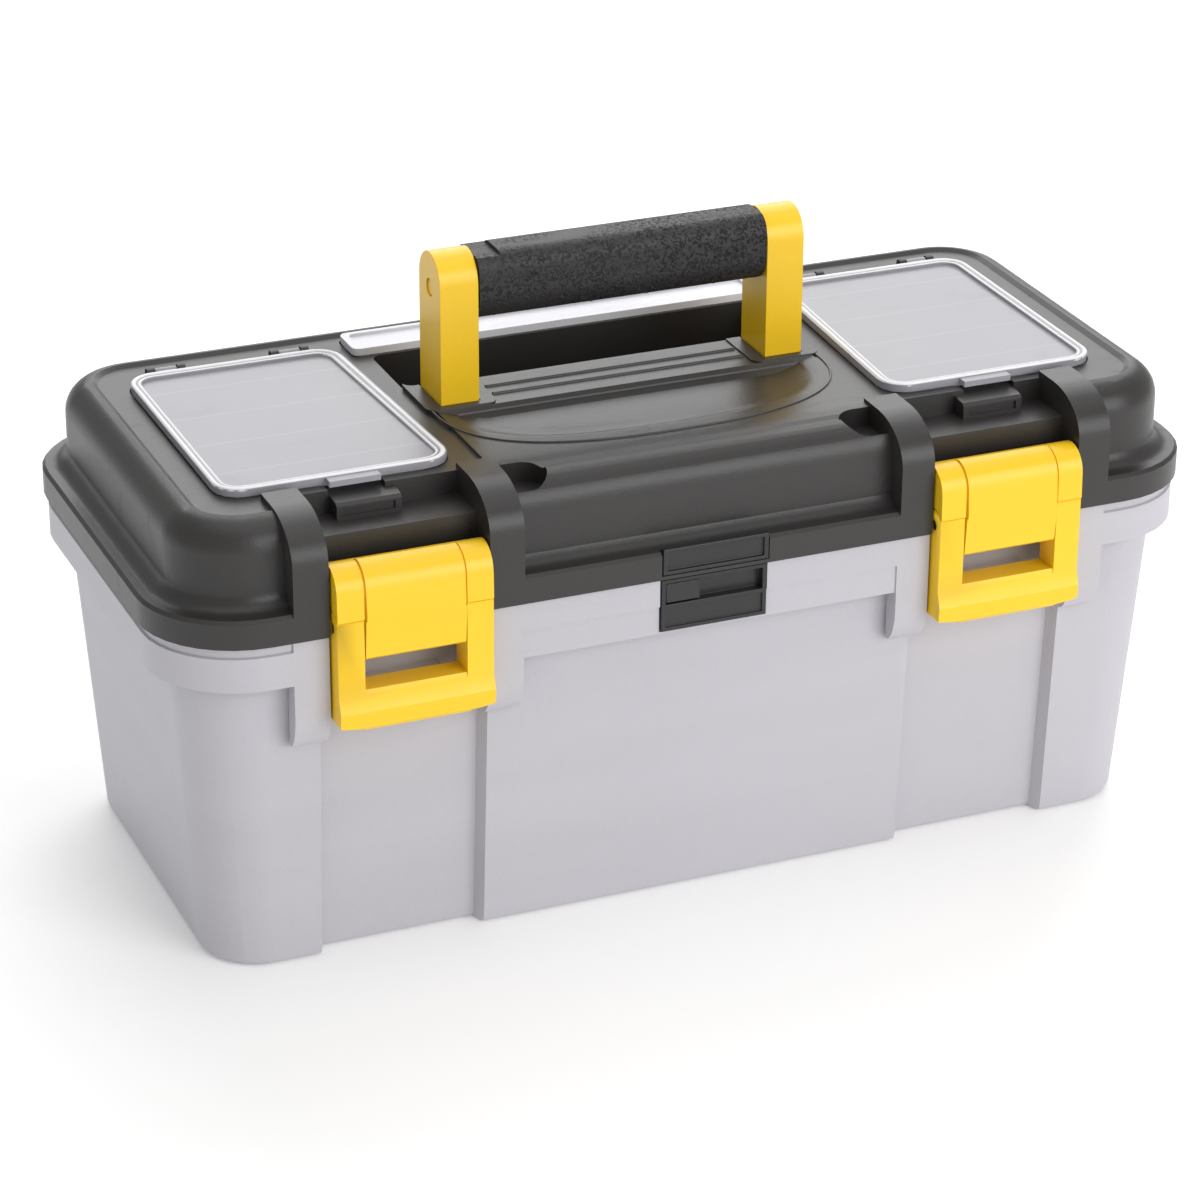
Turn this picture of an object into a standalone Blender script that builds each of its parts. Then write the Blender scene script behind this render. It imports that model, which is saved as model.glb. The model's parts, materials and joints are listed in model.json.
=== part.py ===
"""A sixteen-inch plastic toolbox: a ribbed tub, a hollow lid with three organisers, two draw latches,
a carry handle that folds back, and a tray that lifts out.

Sizes are in millimetres and MM turns them into Blender's metres. +X is to the right seen from the
latches, -Y is the front, +Z is up, and the origin is under the middle of the box on the ground."""

from math import cos, pi, radians, sin

import bmesh
import bpy
from mathutils import Vector

MM = 0.001

# Fits
SEAM = 0.4        # between two parts that rest on each other
RUNNING = 0.5     # beside a part that turns or slides
BORE_FIT = 0.3    # round a pin, on its radius
REACH = 60.0      # how far a cutter runs past what it cuts

# Tub
TUB_HEIGHT = 133.6
MOUTH_INSET_X, MOUTH_INSET_Y = 8.4, 7.8      # from the lid's flange in to the tub's wall at its mouth
DRAFT_X, DRAFT_Y = 9.4, 7.7                  # how far the wall leans in from mouth to floor
BASE_RADIUS, MOUTH_RADIUS = 22.0, 27.0
WALL = 2.4
FLOOR = 2.8
RIM_BAND = 16.6          # height of the outer band that hangs from the mouth
RIM_THICKNESS = 2.2
RIM_STEP = 3.9           # height of the thin strip above the band
APRON_HEIGHT = 21.6      # height of the deeper band between the latches
APRON_STRIP = 10.4       # height of its upper half, which stands out past the lower
APRON_STEP = 0.7
CHANNEL_DEPTH = 5.5      # how far the wall steps in under each latch
LIP_HEIGHT = 2.9
TRAY_REST_DROP = 49.4    # from the mouth down to the ledges that the tray stands on

# Lid
LID_LENGTH, LID_DEPTH = 406.0, 188.0
LID_RADIUS = 37.0
LID_HEIGHT = 40.6        # from its lower edge to the deck that the covers lie in
FLANGE_HEIGHT = 10.6
FLANGE_STEP = 8.0        # from the flange's face in to the hollow of the lid's wall
FLANGE_FILLET = 6.3      # hollow radius between the flange's ledge and the wall
RIM_INSET = 1.5          # the tub's band sits this much inside the lid's flange
SHOULDER_RADIUS = 11.5
BEAD_HEIGHT = 1.3        # the shoulder stands this much over the deck
LID_WALL = 2.5

# Latch bays, between two ribs on each side
LATCH_FROM_END = 87.5
BAY_WIDTH = 59.0
RIB_WIDTH = 13.0
EAR_LENGTH = 43.0        # how far each rib runs on down the tub
SHELF_DROP = 8.6         # from the deck down to the shelf behind each latch

# Latches
LATCH_SIDE_GAP = 0.8
LATCH_DROP = 6.2         # from the shelf down to the latch's top
LATCH_HEIGHT = 60.8
CHEEK_WIDTH = 10.2
LATCH_PIN_RADIUS = 1.75
LATCH_CURL_RADIUS = 9.0
WINDOW_HEIGHT = 11.4
LEVER_BAR_HEIGHT = 14.9
LEVER_BOSS_RADIUS = 6.2

# Rear hinge
HINGE_OFFSET = 2.5       # from the flange's rear face out to the axis
KNUCKLE_RADIUS = 4.5
HINGE_PIN_RADIUS = 2.0
HINGE_FROM_END = 93.0
KNUCKLE_LENGTH = 10.0
LID_KNUCKLE_LENGTH = 19.0

# Covers and bins
COVER_FROM_END = 31.5
COVER_GAP_FRONT, COVER_GAP_BACK = 6.5, 12.0  # from the handle's recess out to a side cover
COVER_MARGIN = 36.5                          # from the lid's flange in to a side cover, front and back
COVER_RADIUS = 10.0
COVER_THICKNESS = 2.8
COVER_RIM = 4.0
COVER_TAB_WIDTH, COVER_TAB_LENGTH = 19.0, 4.0
REAR_COVER_OVERHANG = 6.0                    # past the handle's recess at each end
REAR_COVER_MARGIN, REAR_COVER_DEPTH = 24.8, 17.6
COVER_SEAT = 2.0         # how deep a cover's seat is cut into the deck
COVER_BARREL_RADIUS = 1.5
COVER_LUG_RADIUS = 2.0
COVER_STUB_RADIUS = 0.8
BARREL_LENGTH, LUG_THICKNESS = 8.0, 3.0
BIN_FLANGE = 1.3
BIN_DEPTH = 25.0
BIN_WALL = 1.5
BIN_ROWS = 4
BIN_RADIUS, REAR_BIN_RADIUS = 6.0, 3.0

# Carry handle
HANDLE_Y = 1.5
HANDLE_CLEAR_SPAN = 114.4
POST_WIDTH, POST_DEPTH = 14.8, 21.6
HANDLE_HEIGHT = 59.8     # from the pivot to the top
PIVOT_DROP = 2.4         # of the pivot under the deck
PIVOT_RADIUS = 2.25
BRACKET_WALL = 6.2
BRACKET_HEIGHT = 1.8
CAVITY_MARGIN = 6.0      # from a post out to the end of the recess
CAVITY_WALL = 1.6        # between the recess and the rear cover
CAVITY_FLOOR_DROP = 24.6
CORE_RADIUS = 6.0
GRIP_HEIGHT = 26.4
SCREW_RADIUS, SCREW_HEAD_RADIUS = 1.2, 3.0
SCREW_SINK = 2.6         # how deep a screw's head is let into its post
WELL_DEPTH = 1.8

# Tray
TRAY_HEIGHT = 44.0
TRAY_GAP_X, TRAY_GAP_Y = 2.0, 5.0            # inside the tub's outer outline at its floor
TRAY_WALL = 2.0
TRAY_DRAFT = 3.0

# Lock inserts
HASP_WIDTH = 41.0
HASP_HEIGHT = 20.4
HASP_DEPTH = 4.4

MOUTH_LENGTH, MOUTH_DEPTH = LID_LENGTH - 2 * MOUTH_INSET_X, LID_DEPTH - 2 * MOUTH_INSET_Y
BASE_LENGTH, BASE_DEPTH = MOUTH_LENGTH - 2 * DRAFT_X, MOUTH_DEPTH - 2 * DRAFT_Y
TRAY_LENGTH, TRAY_DEPTH = BASE_LENGTH - 2 * TRAY_GAP_X, BASE_DEPTH - 2 * TRAY_GAP_Y
TRAY_REST_Z = TUB_HEIGHT - TRAY_REST_DROP
HINGE_X = LID_LENGTH / 2 - HINGE_FROM_END
LID_BASE = TUB_HEIGHT + SEAM
DECK_Z = LID_BASE + LID_HEIGHT
SHELF_Z = DECK_Z - SHELF_DROP
LID_FRONT = -LID_DEPTH / 2
BAY_CENTRE = LID_LENGTH / 2 - LATCH_FROM_END
BAY_INNER, BAY_OUTER = BAY_CENTRE - BAY_WIDTH / 2, BAY_CENTRE + BAY_WIDTH / 2
RIM_HALF_X, RIM_HALF_Y = LID_LENGTH / 2 - RIM_INSET, LID_DEPTH / 2 - RIM_INSET
BAY_WALL_Y = CHANNEL_DEPTH - MOUTH_DEPTH / 2
APRON_HALF = BAY_INNER - RIB_WIDTH + 1.0     # runs a little way into the ribs
HINGE_Y = LID_DEPTH / 2 + HINGE_OFFSET
HINGE_Z = LID_BASE
LATCH_PIN_Y = BAY_WALL_Y - LATCH_CURL_RADIUS - RUNNING
LATCH_PIN_Z = SHELF_Z - LATCH_DROP - LATCH_CURL_RADIUS
LATCH_TOP = LATCH_PIN_Z + LATCH_CURL_RADIUS
LATCH_BOTTOM = LATCH_TOP - LATCH_HEIGHT
LATCH_FRONT = LATCH_PIN_Y - LATCH_CURL_RADIUS
LATCH_BACK = LATCH_FRONT + 11.0
LATCH_LIP = HINGE_Y + KNUCKLE_RADIUS + LATCH_FRONT   # ends as far in front as the hinge does behind
LEVER_PIN_Y = LATCH_FRONT + 5.5
WINDOW_BOTTOM = LATCH_BOTTOM + LEVER_BAR_HEIGHT
WINDOW_TOP = WINDOW_BOTTOM + WINDOW_HEIGHT
LEVER_PIN_Z = WINDOW_TOP + 12.1
POST_INNER = HANDLE_CLEAR_SPAN / 2
POST_OUTER = POST_INNER + POST_WIDTH
CAVITY_HALF = POST_OUTER + CAVITY_MARGIN
COVER_INNER_FRONT, COVER_INNER_BACK = CAVITY_HALF + COVER_GAP_FRONT, CAVITY_HALF + COVER_GAP_BACK
COVER_DEPTH = LID_DEPTH - 2 * COVER_MARGIN
REAR_COVER_LENGTH = 2 * (CAVITY_HALF + REAR_COVER_OVERHANG)
REAR_COVER_BACK = LID_DEPTH / 2 - REAR_COVER_MARGIN
REAR_COVER_FRONT = REAR_COVER_BACK - REAR_COVER_DEPTH
CAVITY_BACK = REAR_COVER_FRONT - CAVITY_WALL
COVER_TOP = DECK_Z - COVER_SEAT + BIN_FLANGE + 2 * SEAM + COVER_THICKNESS
COVER_OUTER = LID_LENGTH / 2 - COVER_FROM_END
COVER_AXIS_Y = COVER_DEPTH / 2 + COVER_LUG_RADIUS + RUNNING
REAR_AXIS_Y = REAR_COVER_BACK + COVER_LUG_RADIUS + RUNNING
COVER_AXIS_Z = DECK_Z + COVER_BARREL_RADIUS + SEAM
PIVOT_Z = DECK_Z - PIVOT_DROP
HANDLE_TOP = PIVOT_Z + HANDLE_HEIGHT
GRIP_Z = HANDLE_TOP - SEAM - GRIP_HEIGHT / 2
TRAY_Z = TRAY_REST_Z + SEAM
SIDES = (("left", -1), ("right", 1))


def linear(*srgb):
    """A colour as Blender's materials take it, from the 0 to 255 values of a colour picker."""
    return tuple(((v / 255 + 0.055) / 1.055) ** 2.4 for v in srgb) + (1.0,)


FINISHES = {
    "grey_plastic": (linear(190, 188, 193), 0.45, 0.0),
    "charcoal_plastic": (linear(72, 70, 68), 0.42, 0.0),
    "yellow_plastic": (linear(255, 208, 45), 0.38, 0.0),
    "soft_grip": (linear(58, 56, 55), 0.6, 0.0),
    "frosted_plastic": (linear(214, 213, 220), 0.3, 0.0),
    "bin_plastic": (linear(205, 204, 210), 0.45, 0.0),
    "steel": (linear(176, 178, 182), 0.32, 1.0),
}


def clear_scene():
    for obj in list(bpy.data.objects):
        bpy.data.objects.remove(obj, do_unlink=True)


def finish_material(name):
    found = bpy.data.materials.get(name)
    if found:
        return found
    colour, roughness, metallic = FINISHES[name]
    made = bpy.data.materials.new(name)
    made.use_nodes = True
    shader = made.node_tree.nodes["Principled BSDF"]
    shader.inputs["Base Color"].default_value = colour
    shader.inputs["Roughness"].default_value = roughness
    shader.inputs["Metallic"].default_value = metallic
    return made


def solid(points, faces, name="tool"):
    """An object from points in millimetres, with its faces turned outwards."""
    mesh = bpy.data.meshes.new(name)
    mesh.from_pydata([Vector(p) * MM for p in points], [], faces)
    shape = bmesh.new()
    shape.from_mesh(mesh)
    bmesh.ops.recalc_face_normals(shape, faces=shape.faces)
    shape.to_mesh(mesh)
    shape.free()
    obj = bpy.data.objects.new(name, mesh)
    bpy.context.scene.collection.objects.link(obj)
    return obj


def loft(rings, name="tool"):
    """Skins a stack of equal rings and caps the first and the last."""
    count = len(rings[0])
    points = [p for ring in rings for p in ring]
    faces = [tuple(range(count)), tuple(range(len(points) - count, len(points)))]
    for low in range(len(rings) - 1):
        start = low * count
        for i in range(count):
            j = (i + 1) % count
            faces.append((start + i, start + j, start + count + j, start + count + i))
    return solid(points, faces, name)


def prism(outline, axis, low, high, name="tool"):
    """An outline pushed along an axis. It holds (y, z) for X, (x, z) for Y and (x, y) for Z."""
    slot = "XYZ".index(axis)
    return loft([[(*p[:slot], level, *p[slot:]) for p in outline] for level in (low, high)], name)


def box(x, y, z, name="tool"):
    """A block between (low, high) pairs."""
    return prism([(x[0], y[0]), (x[1], y[0]), (x[1], y[1]), (x[0], y[1])], "Z", z[0], z[1], name)


def arc(centre, radius, start, end, steps):
    """Points round a centre between two angles in degrees. A pair of radii makes an ellipse."""
    wide, high = radius if isinstance(radius, tuple) else (radius, radius)
    turns = [radians(start + (end - start) * i / steps) for i in range(steps + 1)]
    return [(centre[0] + wide * cos(t), centre[1] + high * sin(t)) for t in turns]


def rod(axis, centre, radius, low, high, sides=24, name="tool"):
    return prism(arc(centre, radius, 0, 360 - 360 / sides, sides - 1), axis, low, high, name)


def rounded_polygon(corners, radius, steps=4):
    """The outline of a polygon with each corner replaced by an arc that touches both of its sides."""
    outline = []
    for i, corner in enumerate(corners):
        here = Vector(corner)
        before = (Vector(corners[i - 1]) - here).normalized()
        after = (Vector(corners[(i + 1) % len(corners)]) - here).normalized()
        half = before.angle(after) / 2
        centre = here + (before + after).normalized() * radius / sin(half)
        along = radius * cos(half) / sin(half)
        first, last = here + before * along - centre, here + after * along - centre
        for k in range(steps + 1):
            outline.append(tuple(centre + first.slerp(last, k / steps).normalized() * radius))
    return outline


def rounded_box(x, y, z, radius, name="tool"):
    """A block whose upright edges are rounded."""
    corners = [(x[0], y[0]), (x[1], y[0]), (x[1], y[1]), (x[0], y[1])]
    return prism(rounded_polygon(corners, radius), "Z", z[0], z[1], name)


def boolean(target, tool, operation):
    modifier = target.modifiers.new("Boolean", "BOOLEAN")
    modifier.operation = operation
    modifier.solver = "EXACT"
    modifier.object = tool
    graph = bpy.context.evaluated_depsgraph_get()
    made = bpy.data.meshes.new_from_object(target.evaluated_get(graph))
    target.modifiers.clear()
    target.data = made
    bpy.data.objects.remove(tool, do_unlink=True)


def join(target, *tools):
    for tool in tools:
        boolean(target, tool, "UNION")
    return target


def cut(target, *tools):
    for tool in tools:
        boolean(target, tool, "DIFFERENCE")
    return target


def finish(obj, name, material, smooth=True):
    """Names a finished part, gives it its material, and shades its round faces smooth."""
    obj.name = name
    obj.data.name = name
    obj.data.materials.clear()
    obj.data.materials.append(finish_material(material))
    if smooth:
        obj.data.shade_smooth()
        obj.data.set_sharp_from_angle(angle=radians(32))
    return obj


def side_span(side, low, high):
    """A span given outwards from the middle, as (low, high) in x on the side named by its sign."""
    return (low, high) if side > 0 else (-high, -low)


def tub_ring(half_x, half_y, radius, z, channel=0.0, grow=0.0, steps=9):
    """A rounded rectangle whose front can step in at the two latch channels. A positive grow
    widens the channels, which keeps the wall even when the ring is the inner one."""
    near, far = BAY_INNER - 1.5 - grow, BAY_OUTER + grow
    front = []
    for side in (-1, 1):
        marks = [(near - 1, 0), (near + 1, channel), (far - 1, channel), (far + 1, 0)]
        front += [(side * x, -half_y + inward) for x, inward in (marks if side > 0 else marks[::-1])]
    corner_x, corner_y = half_x - radius, half_y - radius
    ring = arc((-corner_x, -corner_y), radius, 180, 270, steps) + front
    ring += arc((corner_x, -corner_y), radius, 270, 360, steps)
    ring += arc((corner_x, corner_y), radius, 0, 90, steps)
    ring += arc((-corner_x, corner_y), radius, 90, 180, steps)
    return [(x, y, z) for x, y in ring]


def wall_ring(z, inset=0.0, channel=CHANNEL_DEPTH, shrink=0.0):
    """A ring of the tub's drafted wall at a height, moved in by the inset."""
    share = z / TUB_HEIGHT
    half_x = (BASE_LENGTH + (MOUTH_LENGTH - BASE_LENGTH) * share) / 2 - inset - shrink
    half_y = (BASE_DEPTH + (MOUTH_DEPTH - BASE_DEPTH) * share) / 2 - inset - shrink
    radius = BASE_RADIUS + (MOUTH_RADIUS - BASE_RADIUS) * share - inset
    return tub_ring(half_x, half_y, radius, z, channel, inset)


def rim_ring(z, inset, channel=0.0):
    return tub_ring(RIM_HALF_X - inset, RIM_HALF_Y - inset, LID_RADIUS - RIM_INSET - inset, z, channel)


def rib_outline(bottom_z, top_z):
    """The side view of a lid rib: an upright front that rolls over the shoulder onto the deck."""
    front_y, back_y = LID_FRONT, LID_FRONT + 33.0
    crown = (LID_FRONT + FLANGE_STEP + SHOULDER_RADIUS + 2.0, DECK_Z + BEAD_HEIGHT - SHOULDER_RADIUS - 3.0)
    outline = [(back_y, bottom_z), (front_y, bottom_z)]
    outline += arc(crown, (crown[0] - front_y, top_z - crown[1]), 180, 90, 10)
    return outline + [(back_y, top_z)]


def make_tub():
    flange_under = TUB_HEIGHT - 4.6
    band_bottom, step_z = TUB_HEIGHT - RIM_BAND, TUB_HEIGHT - RIM_STEP
    rings = [wall_ring(0.0, 0.0, CHANNEL_DEPTH, 2.5), wall_ring(1.0, 0.0, CHANNEL_DEPTH, 0.7)]
    rings += [wall_ring(3.0), wall_ring(flange_under)]
    rings += [rim_ring(flange_under, RIM_THICKNESS), rim_ring(band_bottom, RIM_THICKNESS)]
    rings += [rim_ring(band_bottom, 0.0)]
    rings += [rim_ring(step_z, 0.0), rim_ring(step_z + 0.5, 0.9), rim_ring(TUB_HEIGHT, 0.9)]
    lip_z = TUB_HEIGHT + LIP_HEIGHT
    rings += [rim_ring(TUB_HEIGHT, 5.2), rim_ring(lip_z, 5.4)]
    rings += [rim_ring(lip_z, 7.2), rim_ring(TUB_HEIGHT, 7.4)]
    rings += [wall_ring(TUB_HEIGHT, WALL), wall_ring(FLOOR + 3, WALL)]
    rings += [wall_ring(FLOOR, WALL, CHANNEL_DEPTH, 2.0)]
    tub = loft(rings)
    lower = (TUB_HEIGHT - RIM_BAND - 1, TUB_HEIGHT - APRON_STRIP - 0.3)
    cut(tub, box((-APRON_HALF, APRON_HALF), (LID_FRONT - REACH, APRON_STEP + 0.2 - RIM_HALF_Y), lower))
    join(tub, make_apron())
    for _, side in SIDES:
        bay = side_span(side, BAY_INNER, BAY_OUTER)
        front = (LID_FRONT - REACH, BAY_WALL_Y - 0.8)
        cut(tub, box(bay, front, (band_bottom - 2, TUB_HEIGHT + REACH)))
        ribs = side_span(side, BAY_INNER - RIB_WIDTH - SEAM, BAY_OUTER + RIB_WIDTH + SEAM)
        cut(tub, box(ribs, (LID_FRONT - REACH, BAY_WALL_Y + WALL), (TUB_HEIGHT, TUB_HEIGHT + REACH)))
        for start in (BAY_INNER - RIB_WIDTH, BAY_OUTER):
            join(tub, make_ear(side_span(side, start, start + RIB_WIDTH)))
        ledge_z = LATCH_BOTTOM + 8.0
        ledge = [(BAY_WALL_Y + 1.6, ledge_z - 3), (LATCH_BACK + 3.0, ledge_z)]
        ledge += [(LATCH_BACK + 3.0, ledge_z + 2.4), (BAY_WALL_Y + 1.6, ledge_z + 4)]
        join(tub, prism(ledge, "X", *side_span(side, BAY_CENTRE - 15, BAY_CENTRE + 15)))
        rest = side_span(side, TRAY_LENGTH / 2 - 7, BASE_LENGTH / 2 + 3.6)
        join(tub, box(rest, (-45, 45), (TRAY_REST_Z - 5, TRAY_REST_Z)))
        hinge_parts(tub, side, True)
    pocket_half = HASP_WIDTH / 2 + SEAM
    front = (LID_FRONT - REACH, -RIM_HALF_Y + HASP_DEPTH + SEAM)
    cut(tub, box((-pocket_half, pocket_half), front, (TUB_HEIGHT - HASP_HEIGHT - SEAM, TUB_HEIGHT + 1)))
    return finish(tub, "tub", "grey_plastic")


def make_apron():
    """The deeper band between the latches, with its upper half standing out past the lower."""
    face, top = -RIM_HALF_Y, TUB_HEIGHT
    outline = [(face, top), (face, top - APRON_STRIP), (face + APRON_STEP, top - APRON_STRIP - 0.6)]
    outline += [(face + APRON_STEP, top - APRON_HEIGHT), (face + RIM_THICKNESS, top - APRON_HEIGHT)]
    outline += [(face + RIM_THICKNESS, top)]
    return prism(outline, "X", -APRON_HALF, APRON_HALF)


def make_ear(span):
    """A rib on the tub that carries a lid rib's line down beside the latch, with a rounded foot."""
    foot_z, top_z = TUB_HEIGHT - EAR_LENGTH, TUB_HEIGHT
    back_y = -(MOUTH_DEPTH / 2 - WALL) - 1.4
    front_y = LID_FRONT + RIM_INSET
    outline = [(back_y, top_z), (back_y, foot_z)]
    outline += arc((back_y, foot_z + 14), (back_y - front_y, 14), 270, 180, 5)
    outline += [(front_y, top_z)]
    return prism(outline, "X", *span)


def hinge_parts(target, side, on_tub):
    """Adds the knuckles of one hinge to the tub or to the lid, cuts room for the other part's
    knuckles, and bores them for the pin."""
    middle = LID_KNUCKLE_LENGTH / 2
    outer_spans = [(HINGE_X - middle - RUNNING - KNUCKLE_LENGTH, HINGE_X - middle - RUNNING)]
    outer_spans += [(HINGE_X + middle + RUNNING, HINGE_X + middle + RUNNING + KNUCKLE_LENGTH)]
    inner_spans = [(HINGE_X - middle, HINGE_X + middle)]
    own, other = (outer_spans, inner_spans) if on_tub else (inner_spans, outer_spans)
    axis = (HINGE_Y, HINGE_Z)
    for low, high in other:
        span = side_span(side, low - RUNNING, high + RUNNING)
        cut(target, rod("X", axis, KNUCKLE_RADIUS + RUNNING, *span))
    for low, high in own:
        span = side_span(side, low, high)
        join(target, rod("X", axis, KNUCKLE_RADIUS, *span))
        if on_tub:
            web = [(RIM_HALF_Y - 1.6, HINGE_Z - 9), (HINGE_Y + 1.5, HINGE_Z - 4), (HINGE_Y, HINGE_Z - 1.0)]
            web += [(RIM_HALF_Y - 1.6, HINGE_Z - 1.0)]
        else:
            web = [(LID_DEPTH / 2 - 2, HINGE_Z + 1.0), (HINGE_Y, HINGE_Z + 1.0), (HINGE_Y + 1.5, HINGE_Z + 4)]
            web += [(LID_DEPTH / 2 - 2, HINGE_Z + 7.6)]
        join(target, prism(web, "X", *span))
    reach = middle + 2 * KNUCKLE_LENGTH
    bore = side_span(side, HINGE_X - reach, HINGE_X + reach)
    cut(target, rod("X", axis, HINGE_PIN_RADIUS + BORE_FIT, *bore, sides=16))


def lid_ring(inset, z, steps=9):
    """A rounded rectangle inside the lid flange's outline."""
    corner_x, corner_y = LID_LENGTH / 2 - LID_RADIUS, LID_DEPTH / 2 - LID_RADIUS
    radius = LID_RADIUS - inset
    ring = []
    for centre, start in (((-1, -1), 180), ((1, -1), 270), ((1, 1), 0), ((-1, 1), 90)):
        ring += arc((centre[0] * corner_x, centre[1] * corner_y), radius, start, start + 90, steps)
    return [(x, y, z) for x, y in ring]


def cover_outline(side, grow=0.0):
    """A side cover's plan: three square sides and an inner side that leans outwards to the rear."""
    half, outer = COVER_DEPTH / 2 + grow, COVER_OUTER + grow
    front_in, back_in = COVER_INNER_FRONT - grow, COVER_INNER_BACK - grow
    corners = [(front_in, -half), (outer, -half), (outer, half), (back_in, half)]
    if side < 0:
        corners = [(-x, y) for x, y in corners][::-1]
    return rounded_polygon(corners, COVER_RADIUS + grow)


def well_outline(sunk=0.0, grow=0.0, steps=24):
    """The finger well's plan, straight behind and bowed in front: sunk goes from 0 at its brim to 1
    at its floor."""
    back_y = HANDLE_Y - POST_DEPTH / 2 - 4.0 - 5.0 * sunk + grow
    half_x = POST_OUTER + 3.0 - 17.0 * sunk + grow
    depth = COVER_DEPTH / 2 - 16.5 - 15.0 * sunk + 2 * grow
    bow = []
    for i in range(steps + 1):
        t = pi * i / steps
        x = half_x * (1 if cos(t) > 0 else -1) * abs(cos(t)) ** 0.8
        bow.append((x, back_y - depth * abs(sin(t)) ** 0.75))
    return bow


def bin_span():
    """The side bin's hole in the lid, as spans outwards and in depth."""
    return (COVER_INNER_BACK + 1.8, COVER_OUTER - 3.6), (-COVER_DEPTH / 2 + 3.6, COVER_DEPTH / 2 - 6.5)


def rear_bin_span():
    half = REAR_COVER_LENGTH / 2 - 3.5
    return (-half, half), (REAR_COVER_FRONT + 2.6, REAR_COVER_BACK - 2.6)


def lid_hollow():
    """The room inside the lid: the shell's inner skin with a wall left round every recess."""
    thick = LID_WALL
    rings = [lid_ring(4.0, LID_BASE - 1), lid_ring(4.0, LID_BASE + FLANGE_HEIGHT - thick - 1)]
    rings += [lid_ring(FLANGE_STEP + thick, LID_BASE + FLANGE_HEIGHT + 0.5)]
    shoulder = FLANGE_STEP + thick + 1.5
    for inward, up in arc((SHOULDER_RADIUS, 0), SHOULDER_RADIUS, 180, 90, 3):
        rings.append(lid_ring(shoulder + inward * 0.8, DECK_Z - thick - SHOULDER_RADIUS + up))
    hollow = loft(rings)
    up = DECK_Z + REACH
    reach = CAVITY_HALF + thick
    cavity_y = (HANDLE_Y + POST_DEPTH / 2 - 2, CAVITY_BACK + thick)
    cut(hollow, box((-reach, reach), cavity_y, (DECK_Z - CAVITY_FLOOR_DROP - thick, up)))
    cut(hollow, prism(well_outline(0.0, thick), "Z", DECK_Z - WELL_DEPTH - thick, up))
    seat = (REAR_COVER_FRONT - thick, REAR_COVER_BACK + thick)
    reach = REAR_COVER_LENGTH / 2 + thick
    cut(hollow, box((-reach, reach), seat, (DECK_Z - COVER_SEAT - thick, up)))
    for _, side in SIDES:
        bay = side_span(side, BAY_INNER - thick, BAY_OUTER + thick)
        cut(hollow, box(bay, (LID_FRONT - REACH, BAY_WALL_Y + thick), (LID_BASE - REACH, up)))
        cut(hollow, box(bay, (LID_FRONT - REACH, -COVER_DEPTH / 2 - 2.5), (SHELF_Z - thick, up)))
        pocket = side_span(side, BAY_INNER - 29 - thick, BAY_INNER)
        cut(hollow, box(pocket, (LID_FRONT - REACH, -COVER_DEPTH / 2 - 4.5), (SHELF_Z + 2 - thick, up)))
        bracket = side_span(side, POST_INNER - BRACKET_WALL - 2, POST_OUTER + BRACKET_WALL + 2)
        bracket_y = (HANDLE_Y - POST_DEPTH / 2 - 6, HANDLE_Y + POST_DEPTH / 2 + 1)
        cut(hollow, box(bracket, bracket_y, (PIVOT_Z - POST_DEPTH / 2 - 3.2, up)))
        cut(hollow, prism(cover_outline(side, thick), "Z", DECK_Z - COVER_SEAT - thick, up))
    return hollow


def make_lid():
    wall_in = FLANGE_STEP + 1.5
    top_flange = LID_BASE + FLANGE_HEIGHT
    rings = [lid_ring(0.0, LID_BASE), lid_ring(0.0, top_flange - 1.2), lid_ring(1.2, top_flange)]
    for inset, up in arc((wall_in - FLANGE_FILLET, FLANGE_FILLET), FLANGE_FILLET, 270, 355, 5):
        rings.append(lid_ring(inset, top_flange + 0.2 + up))
    crest_z = DECK_Z + BEAD_HEIGHT
    for inward, up in arc((SHOULDER_RADIUS, 0), SHOULDER_RADIUS, 180, 95, 7):
        rings.append(lid_ring(wall_in + inward, crest_z - SHOULDER_RADIUS + up))
    rings += [lid_ring(wall_in + SHOULDER_RADIUS + 0.9, DECK_Z)]
    lid = loft(rings)
    add_centre_panel(lid)
    cut_bays(lid)
    cut_handle_room(lid)
    cut_organiser_seats(lid)
    cut(lid, lid_hollow())
    for _, side in SIDES:
        for start in (BAY_INNER - RIB_WIDTH, BAY_OUTER):
            rib = rib_outline(LID_BASE, DECK_Z + BEAD_HEIGHT + 1.0)
            span = side_span(side, start, start + RIB_WIDTH)
            shape = prism(rib, "X", *span)
            cut(shape, rib_core(span))
            join(lid, shape)
        reach = side_span(side, BAY_INNER - RIB_WIDTH + 3, BAY_OUTER + RIB_WIDTH - 3)
        cut(lid, rod("X", (LATCH_PIN_Y, LATCH_PIN_Z), LATCH_PIN_RADIUS + BORE_FIT, *reach, sides=16))
        hinge_parts(lid, side, False)
        pivot = side_span(side, POST_INNER - BRACKET_WALL + 1.5, POST_OUTER + BRACKET_WALL - 1.5)
        cut(lid, rod("X", (HANDLE_Y, PIVOT_Z), PIVOT_RADIUS + BORE_FIT, *pivot, sides=16))
    add_cover_lugs(lid)
    slot_z = (LID_BASE + 1.4, LID_BASE + FLANGE_HEIGHT + 2)
    half = HASP_WIDTH / 2 + SEAM
    cut(lid, box((-half, half), (LID_FRONT - REACH, LID_FRONT + 2.4), slot_z))
    return finish(lid, "lid", "charcoal_plastic")


def rib_core(span):
    """Takes the part of a rib that would fill the lid's inside and hang into the tub's mouth."""
    lid_inside = (LID_FRONT + FLANGE_STEP + 4.5, LID_FRONT + REACH)
    return box((span[0] - 1, span[1] + 1), lid_inside, (LID_BASE - 1, SHELF_Z - LID_WALL))


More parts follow.
